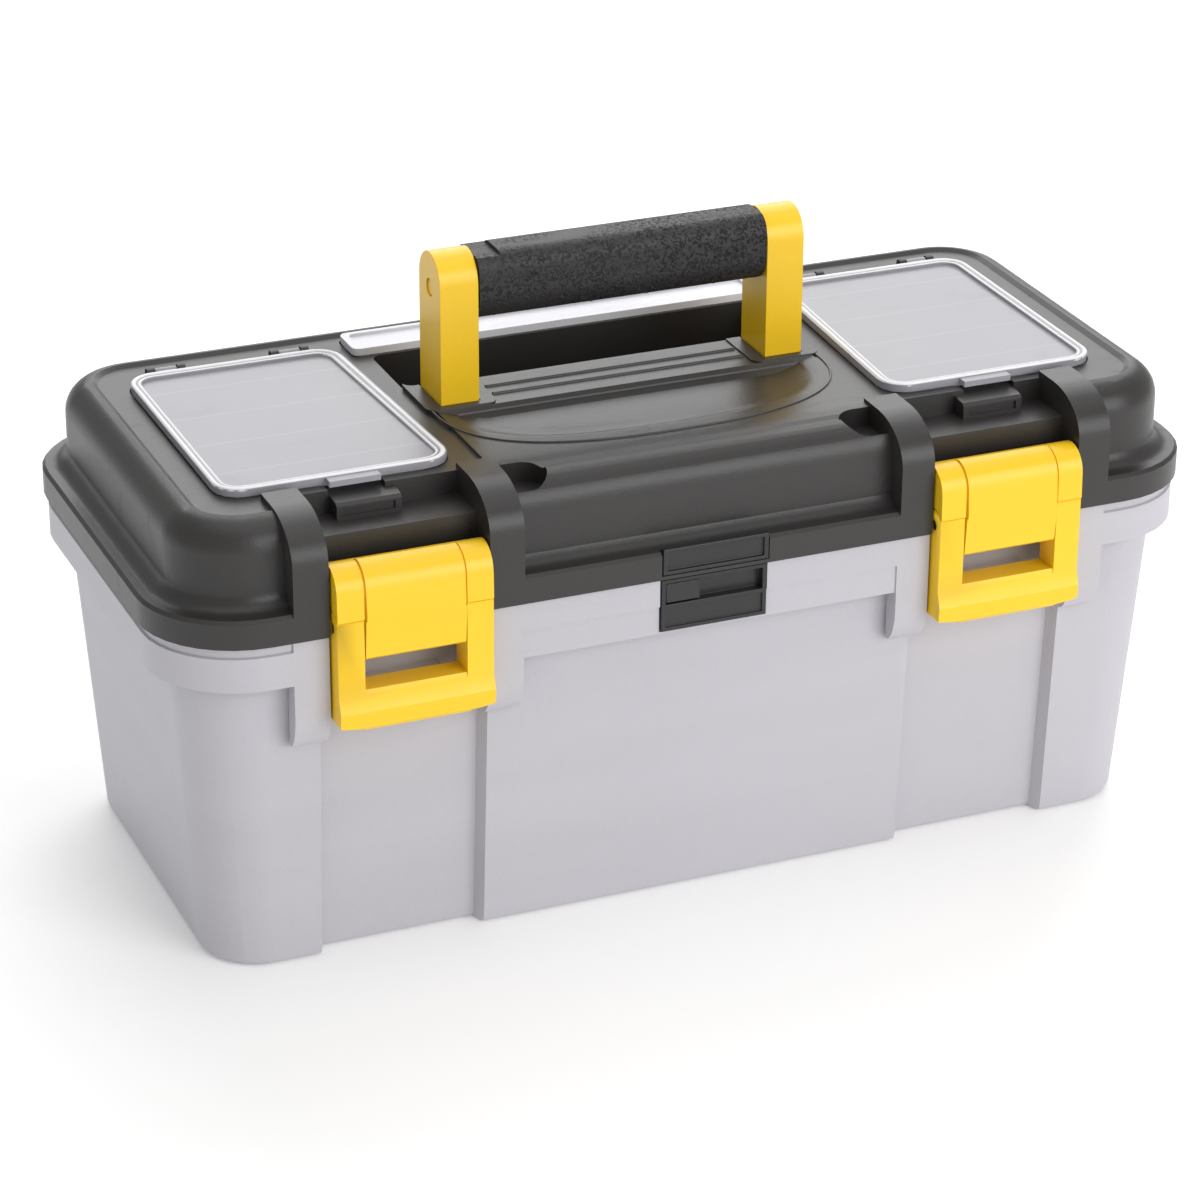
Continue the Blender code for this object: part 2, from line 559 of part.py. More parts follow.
def add_centre_panel(lid):
    """The raised middle of the deck, which rolls over into the front between the inner ribs."""
    top = DECK_Z + BEAD_HEIGHT - 0.1
    front_y = LID_FRONT + FLANGE_STEP + 1.0
    half = BAY_INNER - RIB_WIDTH + 2
    bend_y, bend_z = 22.0, 18.0
    outline = [(HANDLE_Y + POST_DEPTH / 2 + 8, DECK_Z - 6), (HANDLE_Y + POST_DEPTH / 2 + 8, top)]
    outline += arc((front_y + bend_y, top - bend_z), (bend_y, bend_z), 90, 180, 7)
    outline += [(front_y, LID_BASE + FLANGE_HEIGHT - 2), (front_y + 9, LID_BASE + FLANGE_HEIGHT - 2)]
    outline += [(front_y + 9, DECK_Z - 6)]
    join(lid, prism(outline, "X", -half, half))
    for _, side in SIDES:
        pad = side_span(side, POST_INNER - BRACKET_WALL, POST_OUTER + BRACKET_WALL)
        pad_y = (HANDLE_Y - POST_DEPTH / 2 - 4, HANDLE_Y + POST_DEPTH / 2 + 6)
        join(lid, rounded_box(pad, pad_y, (DECK_Z - 4, DECK_Z + BRACKET_HEIGHT), 4.0))


def cut_bays(lid):
    """Opens the two latch bays, the shelf behind each latch and the pocket past each inner rib."""
    up = DECK_Z + REACH
    for _, side in SIDES:
        bay = side_span(side, BAY_INNER, BAY_OUTER)
        cut(lid, box(bay, (LID_FRONT - REACH, BAY_WALL_Y), (LID_BASE - 5, up)))
        shelf_back = -COVER_DEPTH / 2 - 5.0
        cut(lid, box(bay, (LID_FRONT - REACH, shelf_back), (SHELF_Z, up)))
        end = BAY_INNER - RIB_WIDTH - 7.5
        pocket_y = (BAY_WALL_Y - 1.5, shelf_back - 3.5)
        middle, radius = sum(pocket_y) / 2, (pocket_y[1] - pocket_y[0]) / 2
        pocket = box(side_span(side, end, BAY_INNER + 1), pocket_y, (SHELF_Z + 2, up))
        join(pocket, rod("Z", (side * end, middle), radius, SHELF_Z + 2, up))
        cut(lid, pocket)
        boss_front = shelf_back - 7.5
        profile = [(shelf_back + 1, SHELF_Z - 1), (boss_front, SHELF_Z - 1), (boss_front, SHELF_Z + 5.2)]
        profile += [(boss_front + 1.2, SHELF_Z + 6.2), (shelf_back + 1, SHELF_Z + 6.8)]
        boss = prism(profile, "X", *side_span(side, BAY_CENTRE - 6, BAY_CENTRE + 18))
        panel = side_span(side, BAY_CENTRE - 3.6, BAY_CENTRE + 15.6)
        cut(boss, box(panel, (boss_front - 1, boss_front + 0.9), (SHELF_Z + 1.4, SHELF_Z + 4.4)))
        join(lid, boss)


def cut_handle_room(lid):
    """Cuts the deep recess behind the handle, a slot for each post and the finger well."""
    up = DECK_Z + REACH
    post_back = HANDLE_Y + POST_DEPTH / 2
    floor = DECK_Z - CAVITY_FLOOR_DROP
    cut(lid, rounded_box((-CAVITY_HALF, CAVITY_HALF), (post_back + 0.4, CAVITY_BACK), (floor, up), 4.0))
    for _, side in SIDES:
        slot = side_span(side, POST_INNER - RUNNING, POST_OUTER + RUNNING)
        slot_y = (HANDLE_Y - POST_DEPTH / 2 - SEAM, post_back + 6)
        cut(lid, box(slot, slot_y, (PIVOT_Z - POST_DEPTH / 2 - 0.7, up)))
    levels = ((1.0, -WELL_DEPTH), (0.45, -WELL_DEPTH + 1.3), (0.38, -WELL_DEPTH + 1.9))
    levels += ((0.0, BEAD_HEIGHT - 0.1), (-0.4, BEAD_HEIGHT + 2.5))
    cut(lid, loft([[(x, y, DECK_Z + up) for x, y in well_outline(sunk)] for sunk, up in levels]))


def cut_organiser_seats(lid):
    """Cuts a seat for each cover and the hole that its bin hangs in."""
    up, seat = DECK_Z + REACH, DECK_Z - COVER_SEAT
    hole_x, hole_y = bin_span()
    for _, side in SIDES:
        cut(lid, prism(cover_outline(side, RUNNING), "Z", seat, up))
        cut(lid, rounded_box(side_span(side, *hole_x), hole_y, (LID_BASE - 5, up), BIN_RADIUS))
        tab = side_span(side, tab_centre() - COVER_TAB_WIDTH / 2 - 1, tab_centre() + COVER_TAB_WIDTH / 2 + 1)
        tab_y = (-COVER_DEPTH / 2 - COVER_TAB_LENGTH - 1.5, -COVER_DEPTH / 2 + 2)
        cut(lid, box(tab, tab_y, (seat, up)))
    rear = REAR_COVER_LENGTH / 2 + RUNNING
    rear_y = (REAR_COVER_FRONT - RUNNING, REAR_COVER_BACK + RUNNING)
    cut(lid, rounded_box((-rear, rear), rear_y, (seat, up), 3.0))
    rear_x, rear_y = rear_bin_span()
    cut(lid, rounded_box(rear_x, rear_y, (LID_BASE - 5, up), REAR_BIN_RADIUS))


def tab_centre():
    return BAY_CENTRE + 8.0


def barrel_marks(side):
    """Where along x the barrels of a cover stand: for side 0 it is the rear cover."""
    if side == 0:
        return (-REAR_COVER_LENGTH / 4, REAR_COVER_LENGTH / 4)
    middle = (COVER_INNER_BACK + COVER_OUTER) / 2
    return (side * (middle - 24), side * (middle + 24))


def add_cover_lugs(lid):
    """Stands a pair of lugs beside each barrel of each cover, bored for the barrel's stub pins."""
    size, half = COVER_LUG_RADIUS, BARREL_LENGTH / 2
    reach = half + SEAM + LUG_THICKNESS
    for side, axis_y in ((-1, COVER_AXIS_Y), (1, COVER_AXIS_Y), (0, REAR_AXIS_Y)):
        for mark in barrel_marks(side):
            room = (mark - reach - SEAM, mark + reach + SEAM)
            cut(lid, box(room, (axis_y - size, axis_y + size + 1), (DECK_Z, DECK_Z + REACH)))
            for way in (-1, 1):
                span = sorted((mark + way * (half + SEAM), mark + way * reach))
                lug = [(axis_y - size, COVER_AXIS_Z), (axis_y - size, DECK_Z - 1.2)]
                lug += [(axis_y + size, DECK_Z - 1.2), (axis_y + size, COVER_AXIS_Z)]
                lug += arc((axis_y, COVER_AXIS_Z), size, 0, 180, 6)[1:-1]
                join(lid, prism(lug, "X", *span))
            bore = (mark - reach + 0.8, mark + reach - 0.8)
            cut(lid, rod("X", (axis_y, COVER_AXIS_Z), COVER_STUB_RADIUS + BORE_FIT, *bore, sides=10))


def add_barrels(cover, side, axis_y):
    """The two hinge barrels of a cover, each with stub pins at its ends."""
    half, stub = BARREL_LENGTH / 2, BARREL_LENGTH / 2 + SEAM + 1.8
    for mark in barrel_marks(side):
        join(cover, rod("X", (axis_y, COVER_AXIS_Z), COVER_BARREL_RADIUS, mark - half, mark + half, sides=14))
        arm_y = axis_y - COVER_LUG_RADIUS - RUNNING - 1.5
        arm = [(arm_y, COVER_TOP - 1.4), (axis_y, COVER_AXIS_Z - 1.0), (axis_y, COVER_AXIS_Z + 1.0)]
        arm += [(arm_y, COVER_TOP - 0.3)]
        join(cover, prism(arm, "X", mark - half + 0.5, mark + half - 0.5))
        join(cover, rod("X", (axis_y, COVER_AXIS_Z), COVER_STUB_RADIUS, mark - stub, mark + stub, sides=10))


def make_side_cover(name, side):
    """A frosted cover with a raised rim, a sunk panel and a finger tab in front."""
    low = COVER_TOP - COVER_THICKNESS
    cover = prism(cover_outline(side), "Z", low, COVER_TOP)
    cut(cover, prism(cover_outline(side, -COVER_RIM), "Z", COVER_TOP - 1.1, COVER_TOP + 5))
    tab = side_span(side, tab_centre() - COVER_TAB_WIDTH / 2, tab_centre() + COVER_TAB_WIDTH / 2)
    tab_y = (-COVER_DEPTH / 2 - COVER_TAB_LENGTH, -COVER_DEPTH / 2 + 2)
    join(cover, box(tab, tab_y, (low + 0.3, COVER_TOP - 0.3)))
    add_barrels(cover, side, COVER_AXIS_Y)
    return finish(cover, f"organiser_cover_{name}", "frosted_plastic")


def make_rear_cover():
    low, half = COVER_TOP - COVER_THICKNESS, REAR_COVER_LENGTH / 2
    cover = rounded_box((-half, half), (REAR_COVER_FRONT, REAR_COVER_BACK), (low, COVER_TOP), 3.0)
    inner = (REAR_COVER_FRONT + 2, REAR_COVER_BACK - 2)
    cut(cover, rounded_box((-half + 3, half - 3), inner, (COVER_TOP - 1.1, COVER_TOP + 5), 2.0))
    add_barrels(cover, 0, REAR_AXIS_Y)
    return finish(cover, "rear_cover", "frosted_plastic")


def make_bin(x_span, y_span, radius, rows, ways, name):
    """An open bin that hangs in the lid by its flange, cut into compartments."""
    top = DECK_Z - COVER_SEAT + SEAM + BIN_FLANGE
    bottom, flange = top - BIN_DEPTH, 1.6
    radius -= SEAM
    x_span = (x_span[0] + SEAM, x_span[1] - SEAM)
    y_span = (y_span[0] + SEAM, y_span[1] - SEAM)
    body = rounded_box(x_span, y_span, (bottom, top - 0.2), radius)
    plate_x = (x_span[0] - flange, x_span[1] + flange)
    plate_y = (y_span[0] - flange, y_span[1] + flange)
    join(body, rounded_box(plate_x, plate_y, (top - BIN_FLANGE, top), radius + flange))
    row_depth = (y_span[1] - y_span[0] - BIN_WALL) / rows
    way_width = (x_span[1] - x_span[0] - BIN_WALL) / ways
    for row in range(rows):
        for way in range(ways):
            y = y_span[0] + BIN_WALL + row * row_depth
            x = x_span[0] + BIN_WALL + way * way_width
            room_x, room_y = (x, x + way_width - BIN_WALL), (y, y + row_depth - BIN_WALL)
            cut(body, rounded_box(room_x, room_y, (bottom + BIN_WALL, top + 5), radius / 2))
    return finish(body, name, "bin_plastic")


def link_outline():
    """The side view of a latch's upper piece: a curl round its pin and a face that runs down."""
    pin = (LATCH_PIN_Y, LATCH_PIN_Z)
    outline = [(LATCH_FRONT - 0.5, LEVER_PIN_Z)]
    outline += arc(pin, LATCH_CURL_RADIUS, 180, 60, 8)
    outline += [(LATCH_PIN_Y + 3.4, LATCH_PIN_Z - 3.5), (LATCH_BACK, LATCH_PIN_Z - 8.5)]
    return outline + [(LATCH_BACK, LEVER_PIN_Z)]


def block_outline():
    """The side view of the latch's middle block, with a faint crease across its face."""
    crease_z = LEVER_PIN_Z + 5.6
    outline = [(LATCH_FRONT + 0.2, WINDOW_TOP + 1), (LATCH_FRONT + 1.4, WINDOW_TOP)]
    outline += [(LATCH_BACK - 2, WINDOW_TOP), (LATCH_BACK - 1, LATCH_PIN_Z - 8)]
    outline += arc((LATCH_PIN_Y, LATCH_PIN_Z), LATCH_CURL_RADIUS + 0.4, 90, 180, 6)
    return outline + [(LATCH_FRONT - 1.2, crease_z)]


def make_link(name, side):
    """The latch's upper piece, hung on the lid: a full-width cap with the block in its middle."""
    low, high = BAY_INNER + LATCH_SIDE_GAP, BAY_OUTER - LATCH_SIDE_GAP
    link = prism(link_outline(), "X", *side_span(side, low, high))
    lever_pin = (LEVER_PIN_Y, LEVER_PIN_Z)
    middle = side_span(side, low + CHEEK_WIDTH, high - CHEEK_WIDTH)
    for start, end in ((low - 1, low + CHEEK_WIDTH), (high - CHEEK_WIDTH, high + 1)):
        edge = side_span(side, start, end)
        cut(link, rod("X", lever_pin, LEVER_BOSS_RADIUS + SEAM, *edge))
        cut(link, box(edge, (LATCH_FRONT - 9, LATCH_BACK + 9), (LEVER_PIN_Z - 9, LEVER_PIN_Z + 3.8)))
    join(link, prism(block_outline(), "X", *middle))
    groove = arc((LATCH_PIN_Y, LATCH_PIN_Z), LATCH_CURL_RADIUS + 2.5, 70, 180, 8)
    groove += [(LATCH_FRONT - 2.5, LEVER_PIN_Z + 3), (LATCH_FRONT + 0.7, LEVER_PIN_Z + 3)]
    groove += arc((LATCH_PIN_Y, LATCH_PIN_Z), LATCH_CURL_RADIUS - 0.7, 180, 70, 8)
    for mark in (low + CHEEK_WIDTH, high - CHEEK_WIDTH):
        cut(link, prism(groove, "X", *side_span(side, mark - 0.35, mark + 0.35)))
    bore = side_span(side, low - 5, high + 5)
    for pin in ((LATCH_PIN_Y, LATCH_PIN_Z), lever_pin):
        cut(link, rod("X", pin, LATCH_PIN_RADIUS + BORE_FIT, *bore, sides=16))
    return finish(link, f"latch_link_{name}", "yellow_plastic")


def make_lever(name, side):
    """The latch's lower piece: two cheeks, a pull bar across them and a catch tooth behind."""
    low, high = BAY_INNER + LATCH_SIDE_GAP, BAY_OUTER - LATCH_SIDE_GAP
    lever_pin = (LEVER_PIN_Y, LEVER_PIN_Z)
    cheek = [(LATCH_FRONT + 0.3, LATCH_BOTTOM + 3)]
    cheek += arc(lever_pin, LEVER_BOSS_RADIUS, 150, 0, 6)
    cheek += [(LATCH_BACK - 0.2, LATCH_BOTTOM + 3)]
    lever = prism(cheek, "X", *side_span(side, low, low + CHEEK_WIDTH - SEAM))
    bar_top, lip = WINDOW_BOTTOM, LATCH_BOTTOM + 7.5
    bar = [(LATCH_FRONT + 1.0, bar_top), (LATCH_FRONT - LATCH_LIP, lip)]
    bar += [(LATCH_FRONT - 1.2, LATCH_BOTTOM + 1.5)]
    bar += [(LATCH_FRONT, LATCH_BOTTOM), (LATCH_BACK - 2, LATCH_BOTTOM)]
    bar += [(LATCH_BACK - 0.4, LATCH_BOTTOM + 3.5)]
    bar += [(LATCH_BACK + 2.6, LATCH_BOTTOM + 4.0), (LATCH_BACK + 2.6, LATCH_BOTTOM + 7.0)]
    bar += [(LATCH_BACK - 0.4, LATCH_BOTTOM + 9), (LATCH_BACK - 0.4, bar_top)]
    second = prism(cheek, "X", *side_span(side, high - CHEEK_WIDTH + SEAM, high))
    join(lever, prism(bar, "X", *side_span(side, low + 0.01, high - 0.01)), second)
    for edge, inner in ((side * low, side * (low + 9.0)), (side * high, side * (high - 9.0))):
        notch = [(edge, LATCH_BOTTOM - 1), (inner, LATCH_BOTTOM - 1), (inner, LATCH_BOTTOM + 0.6)]
        notch += [(edge, LATCH_BOTTOM + 2.2)]
        cut(lever, prism(notch, "Y", LATCH_FRONT - 5, LATCH_BACK + 6))
    bore = side_span(side, low - 5, high + 5)
    cut(lever, rod("X", lever_pin, LATCH_PIN_RADIUS + BORE_FIT, *bore, sides=16))
    return finish(lever, f"latch_lever_{name}", "yellow_plastic")


def make_latch_pins(name, side):
    long_span = side_span(side, BAY_INNER - RIB_WIDTH + 4, BAY_OUTER + RIB_WIDTH - 4)
    short_span = side_span(side, BAY_INNER + LATCH_SIDE_GAP + 0.3, BAY_OUTER - LATCH_SIDE_GAP - 0.3)
    hinge = rod("X", (LATCH_PIN_Y, LATCH_PIN_Z), LATCH_PIN_RADIUS, *long_span, sides=16)
    lever = rod("X", (LEVER_PIN_Y, LEVER_PIN_Z), LATCH_PIN_RADIUS, *short_span, sides=16)
    return finish(hinge, f"latch_pin_{name}", "steel"), finish(lever, f"lever_pin_{name}", "steel")


def make_hinge_pin(name, side):
    reach = LID_KNUCKLE_LENGTH / 2 + RUNNING + KNUCKLE_LENGTH
    span = side_span(side, HINGE_X - reach, HINGE_X + reach)
    pin = rod("X", (HINGE_Y, HINGE_Z), HINGE_PIN_RADIUS, *span, sides=16)
    return finish(pin, f"hinge_pin_{name}", "steel")


def post_outline(height):
    """The side view of a handle post: round about its pivot, straight, and round at the top."""
    half = POST_DEPTH / 2
    outline = arc((HANDLE_Y, PIVOT_Z), half, 180, 360, 12)
    return outline + arc((HANDLE_Y, PIVOT_Z + height - half), half, 0, 180, 12)


def make_post(name, side):
    post = prism(post_outline(HANDLE_HEIGHT), "X", *side_span(side, POST_INNER, POST_OUTER))
    bore = side_span(side, POST_INNER - 5, POST_OUTER + 5)
    cut(post, rod("X", (HANDLE_Y, PIVOT_Z), PIVOT_RADIUS + BORE_FIT, *bore, sides=16))
    socket = side_span(side, POST_INNER - 5, POST_INNER + 8)
    cut(post, rod("X", (HANDLE_Y, GRIP_Z), CORE_RADIUS + BORE_FIT, *socket))
    screw = side_span(side, POST_INNER, POST_OUTER + 5)
    cut(post, rod("X", (HANDLE_Y, GRIP_Z), SCREW_RADIUS + BORE_FIT, *screw, sides=12))
    head = side_span(side, POST_OUTER - SCREW_SINK, POST_OUTER + 5)
    cut(post, rod("X", (HANDLE_Y, GRIP_Z), SCREW_HEAD_RADIUS + SEAM, *head, sides=16))
    return finish(post, f"handle_post_{name}", "yellow_plastic")


def grip_outline():
    """The grip's section: a flat top, a full round front and an easier round behind."""
    half_y, half_z = POST_DEPTH / 2 + 0.2, GRIP_HEIGHT / 2
    outline = []
    corners = ((1, 1, 7.5, 0), (-1, 1, 6.5, 90), (-1, -1, 10.5, 180), (1, -1, 9.5, 270))
    for corner_y, corner_z, radius, start in corners:
        centre = (HANDLE_Y + corner_y * (half_y - radius), GRIP_Z + corner_z * (half_z - radius))
        outline += arc(centre, radius, start, start + 90, 5)
    return outline


def make_grip():
    end = POST_INNER - SEAM
    grip = prism(grip_outline(), "X", -end, end)
    collar = end - 9.0
    step_z = GRIP_Z + GRIP_HEIGHT / 2 - 1.4
    cut(grip, box((-end - 1, -collar), (HANDLE_Y - 30, HANDLE_Y + 30), (step_z, HANDLE_TOP + 9)))
    cut(grip, rod("X", (HANDLE_Y, GRIP_Z), CORE_RADIUS + BORE_FIT, -end - 5, end + 5))
    core_end = POST_INNER + 8 - SEAM
    core = rod("X", (HANDLE_Y, GRIP_Z), CORE_RADIUS, -core_end, core_end)
    for _, side in SIDES:
        screw = side_span(side, core_end - 9, core_end + 5)
        cut(core, rod("X", (HANDLE_Y, GRIP_Z), SCREW_RADIUS + BORE_FIT, *screw, sides=12))
    return [finish(grip, "handle_grip", "soft_grip"), finish(core, "handle_core", "charcoal_plastic")]


def make_handle_hardware(name, side):
    span = side_span(side, POST_INNER - BRACKET_WALL + 2, POST_OUTER + BRACKET_WALL - 2)
    pivot = rod("X", (HANDLE_Y, PIVOT_Z), PIVOT_RADIUS, *span, sides=16)
    head = POST_OUTER - SCREW_SINK + SEAM
    head_span, shank_span = side_span(side, head, head + 1.6), side_span(side, POST_INNER + 1, head + 0.5)
    screw = rod("X", (HANDLE_Y, GRIP_Z), SCREW_HEAD_RADIUS, *head_span, sides=16)
    join(screw, rod("X", (HANDLE_Y, GRIP_Z), SCREW_RADIUS, *shank_span, sides=12))
    finish(screw, f"handle_screw_{name}", "yellow_plastic")
    return finish(pivot, f"handle_pin_{name}", "steel"), screw


def make_tray():
    """The lift-out tray, split by a spine with a hand hole, and a divider across each half twice."""
    half_x, half_y = TRAY_LENGTH / 2, TRAY_DEPTH / 2
    corner = 16.0

    def ring(inset, z):
        corners = [(-half_x + inset, -half_y + inset), (half_x - inset, -half_y + inset)]
        corners += [(half_x - inset, half_y - inset), (-half_x + inset, half_y - inset)]
        return [(x, y, z) for x, y in rounded_polygon(corners, corner - inset / 2, 5)]

    top, rim = TRAY_Z + TRAY_HEIGHT, 2.6
    tray = loft([ring(rim + TRAY_DRAFT, TRAY_Z), ring(rim, top - 2.4), ring(0, top - 2.4), ring(0, top)])
    grip_z, spine = top + 9.0, 4.0
    arch = [(-62.0, top - 6), (62.0, top - 6), (50.0, grip_z), (-50.0, grip_z)]
    join(tray, prism(arch, "Y", -spine / 2, spine / 2))
    inner = rim + TRAY_DRAFT + TRAY_WALL
    for side in (-1, 1):
        rooms = sorted((side * spine / 2, side * (half_y - inner)))
        room_x = (-half_x + inner, half_x - inner)
        cut(tray, rounded_box(room_x, rooms, (TRAY_Z + TRAY_WALL, grip_z + REACH), 6.0))
    cut(tray, box((-42, 42), (-spine, spine), (top - 18, top + 2)))
    made = [finish(tray, "tray", "charcoal_plastic")]
    for row, side in (("front", -1), ("rear", 1)):
        for name, way in SIDES:
            near, far = side * (spine / 2 + 0.35), side * (half_y - inner - 0.35)
            x = way * (half_x * 0.36)
            plate = box((x - 0.8, x + 0.8), sorted((near, far)), (TRAY_Z + TRAY_WALL + 0.35, top - 5))
            made.append(finish(plate, f"tray_divider_{row}_{name}", "bin_plastic", smooth=False))
    return made


def make_tub_hasp():
    """The dark plate in the tub's band: a padlock pocket with a tab in it, over a sunk panel."""
    half = HASP_WIDTH / 2
    top, bottom = TUB_HEIGHT - SEAM, TUB_HEIGHT - HASP_HEIGHT
    face = -RIM_HALF_Y - 0.5
    panel = (-half + 1.6, half - 1.6)
    plate = box((-half, half), (face, -RIM_HALF_Y + HASP_DEPTH), (bottom, top))
    cut(plate, box(panel, (face - 5, face + 3.4), (bottom + 10.4, top - 1.4)))
    cut(plate, box(panel, (face - 5, face + 0.9), (bottom + 1.4, bottom + 8.8)))
    tab = [(face + 4, top - 2.0), (face + 0.9, top - 2.0), (face + 0.4, bottom + 10.9)]
    tab += [(face + 4, bottom + 10.9)]
    join(plate, prism(tab, "X", -half + 2.0, -half + 15.0))
    return finish(plate, "tub_hasp", "charcoal_plastic")


def make_lid_hasp():
    """The dark plate in the lid's flange, over the one in the tub."""
    half = HASP_WIDTH / 2
    low, high = LID_BASE + 1.4 + SEAM, LID_BASE + FLANGE_HEIGHT + 1.2
    plate = box((-half, half), (LID_FRONT - 0.3, LID_FRONT + 2.0), (low, high))
    cut(plate, box((-half + 1.8, half - 1.8), (LID_FRONT - 5, LID_FRONT + 0.9), (low + 1.4, high - 1.4)))
    return finish(plate, "lid_hasp", "charcoal_plastic")


def hang(parts, empty):
    """Parents parts to an empty and leaves them where they are."""
    bpy.context.view_layer.update()
    for part in parts:
        part.parent = empty
        part.matrix_parent_inverse = empty.matrix_world.inverted()


def pivot_empty(name, y, z, x=0.0, parent=None):
    """An empty on a joint's axis, which the pieces that turn about it hang from."""
    empty = bpy.data.objects.new(name, None)
    empty.empty_display_size = 20 * MM
    empty.location = Vector((x, y, z)) * MM
    bpy.context.scene.collection.objects.link(empty)
    if parent:
        hang([empty], parent)
    return empty


def main():
    clear_scene()
    bpy.context.scene.unit_settings.system = "METRIC"
    make_tub()
    make_tub_hasp()
    lid_parts = [make_lid(), make_lid_hasp()]
    lid_axis = pivot_empty("lid_axis", HINGE_Y, HINGE_Z)
    handle = pivot_empty("handle_axis", HANDLE_Y, PIVOT_Z, parent=lid_axis)
    tray_axis = pivot_empty("tray_axis", 0.0, TRAY_Z)
    rear_axis = pivot_empty("rear_cover_axis", REAR_AXIS_Y, COVER_AXIS_Z, parent=lid_axis)
    hang([make_rear_cover()], rear_axis)
    hang(make_grip(), handle)
    hang(make_tray(), tray_axis)
    lid_parts.append(make_bin(*rear_bin_span(), REAR_BIN_RADIUS, 1, 3, "rear_bin"))
    hole_x, hole_y = bin_span()
    for name, side in SIDES:
        x = side * BAY_CENTRE
        make_hinge_pin(name, side)
        latch_pin, lever_pin = make_latch_pins(name, side)
        handle_pin, screw = make_handle_hardware(name, side)
        bin_x = side_span(side, *hole_x)
        side_bin = make_bin(bin_x, hole_y, BIN_RADIUS, BIN_ROWS, 1, f"organiser_bin_{name}")
        lid_parts += [latch_pin, handle_pin, side_bin]
        link_axis = pivot_empty(f"latch_axis_{name}", LATCH_PIN_Y, LATCH_PIN_Z, x, lid_axis)
        lever_axis = pivot_empty(f"lever_axis_{name}", LEVER_PIN_Y, LEVER_PIN_Z, x, link_axis)
        cover_axis = pivot_empty(f"cover_axis_{name}", COVER_AXIS_Y, COVER_AXIS_Z, x, lid_axis)
        hang([make_link(name, side), lever_pin], link_axis)
        hang([make_lever(name, side)], lever_axis)
        hang([make_side_cover(name, side)], cover_axis)
        hang([make_post(name, side), screw], handle)
    hang(lid_parts, lid_axis)


if __name__ == "__main__":
    main()
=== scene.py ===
"""Finishes a plastic toolbox: softened mouldings, beads and grooves, frosted covers and plain studio light.

Each finished piece starts from its part of the fixed frame, so it fits where that part fits. Sizes are
in metres. +X is to the right seen from the latches, -Y is the front and +Z is up."""

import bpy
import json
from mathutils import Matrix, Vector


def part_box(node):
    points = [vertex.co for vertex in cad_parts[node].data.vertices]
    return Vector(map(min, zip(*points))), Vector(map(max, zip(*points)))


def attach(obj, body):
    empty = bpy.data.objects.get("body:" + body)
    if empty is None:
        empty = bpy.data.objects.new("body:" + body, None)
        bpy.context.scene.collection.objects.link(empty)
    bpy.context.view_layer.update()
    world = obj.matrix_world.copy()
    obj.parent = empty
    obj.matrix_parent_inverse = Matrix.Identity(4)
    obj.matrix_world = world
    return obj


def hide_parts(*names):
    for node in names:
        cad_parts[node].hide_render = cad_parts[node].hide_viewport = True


bl_info = {
    "name": "Toolbox with tray",
    "version": (1, 0, 0),
    "blender": (4, 5, 0),
    "location": "View3D > Sidebar > Toolbox",
    "description": "Finishes a plastic toolbox with a lift-out tray",
    "category": "Object",
}

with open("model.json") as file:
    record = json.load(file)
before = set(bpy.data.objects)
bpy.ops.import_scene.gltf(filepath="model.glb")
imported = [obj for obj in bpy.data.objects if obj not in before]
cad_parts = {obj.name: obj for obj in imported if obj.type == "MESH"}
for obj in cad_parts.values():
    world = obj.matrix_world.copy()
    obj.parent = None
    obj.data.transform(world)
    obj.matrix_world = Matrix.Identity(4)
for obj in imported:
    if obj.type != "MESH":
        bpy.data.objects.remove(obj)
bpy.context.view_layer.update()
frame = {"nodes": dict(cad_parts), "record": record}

import json
from math import cos, pi, radians, sin

import bmesh
import bpy
from bpy.props import FloatProperty, FloatVectorProperty, IntProperty, PointerProperty
from mathutils import Matrix, Vector

MM = 0.001
SIDES = (("left", -1), ("right", 1))
FLOOR_REACH, FLOOR_CORNER = 4.0, 1.0
FLOOR_BOTTOM, FLOOR_TOP = -0.012, -0.0002
LIGHT_AIM = (0.0, 0.0, 0.12)
LIGHT_PLACES = {    # name: size and place
    "overhead": (1.8, (0.1, -0.1, 1.75)),
    "rear": (1.7, (0.55, 1.3, 1.2)),
    "front": (1.3, (0.75, -1.75, 0.85)),
}
SENSOR_WIDTH = 36.0


def linear(*picked):
    """A colour as shaders take it, from the 0 to 255 values of a colour picker."""
    return tuple(((value / 255 + 0.055) / 1.055) ** 2.4 for value in picked)


def colour_property(name, picked, description):
    return FloatVectorProperty(name=name, description=description, subtype="COLOR", size=3,
                               min=0.0, max=1.0, default=linear(*picked))


def length_property(name, millimetres, description):
    return FloatProperty(name=name, description=description, default=millimetres * MM,
                         min=0.0, subtype="DISTANCE", unit="LENGTH")


# ---------------------------------------------------------------- settings


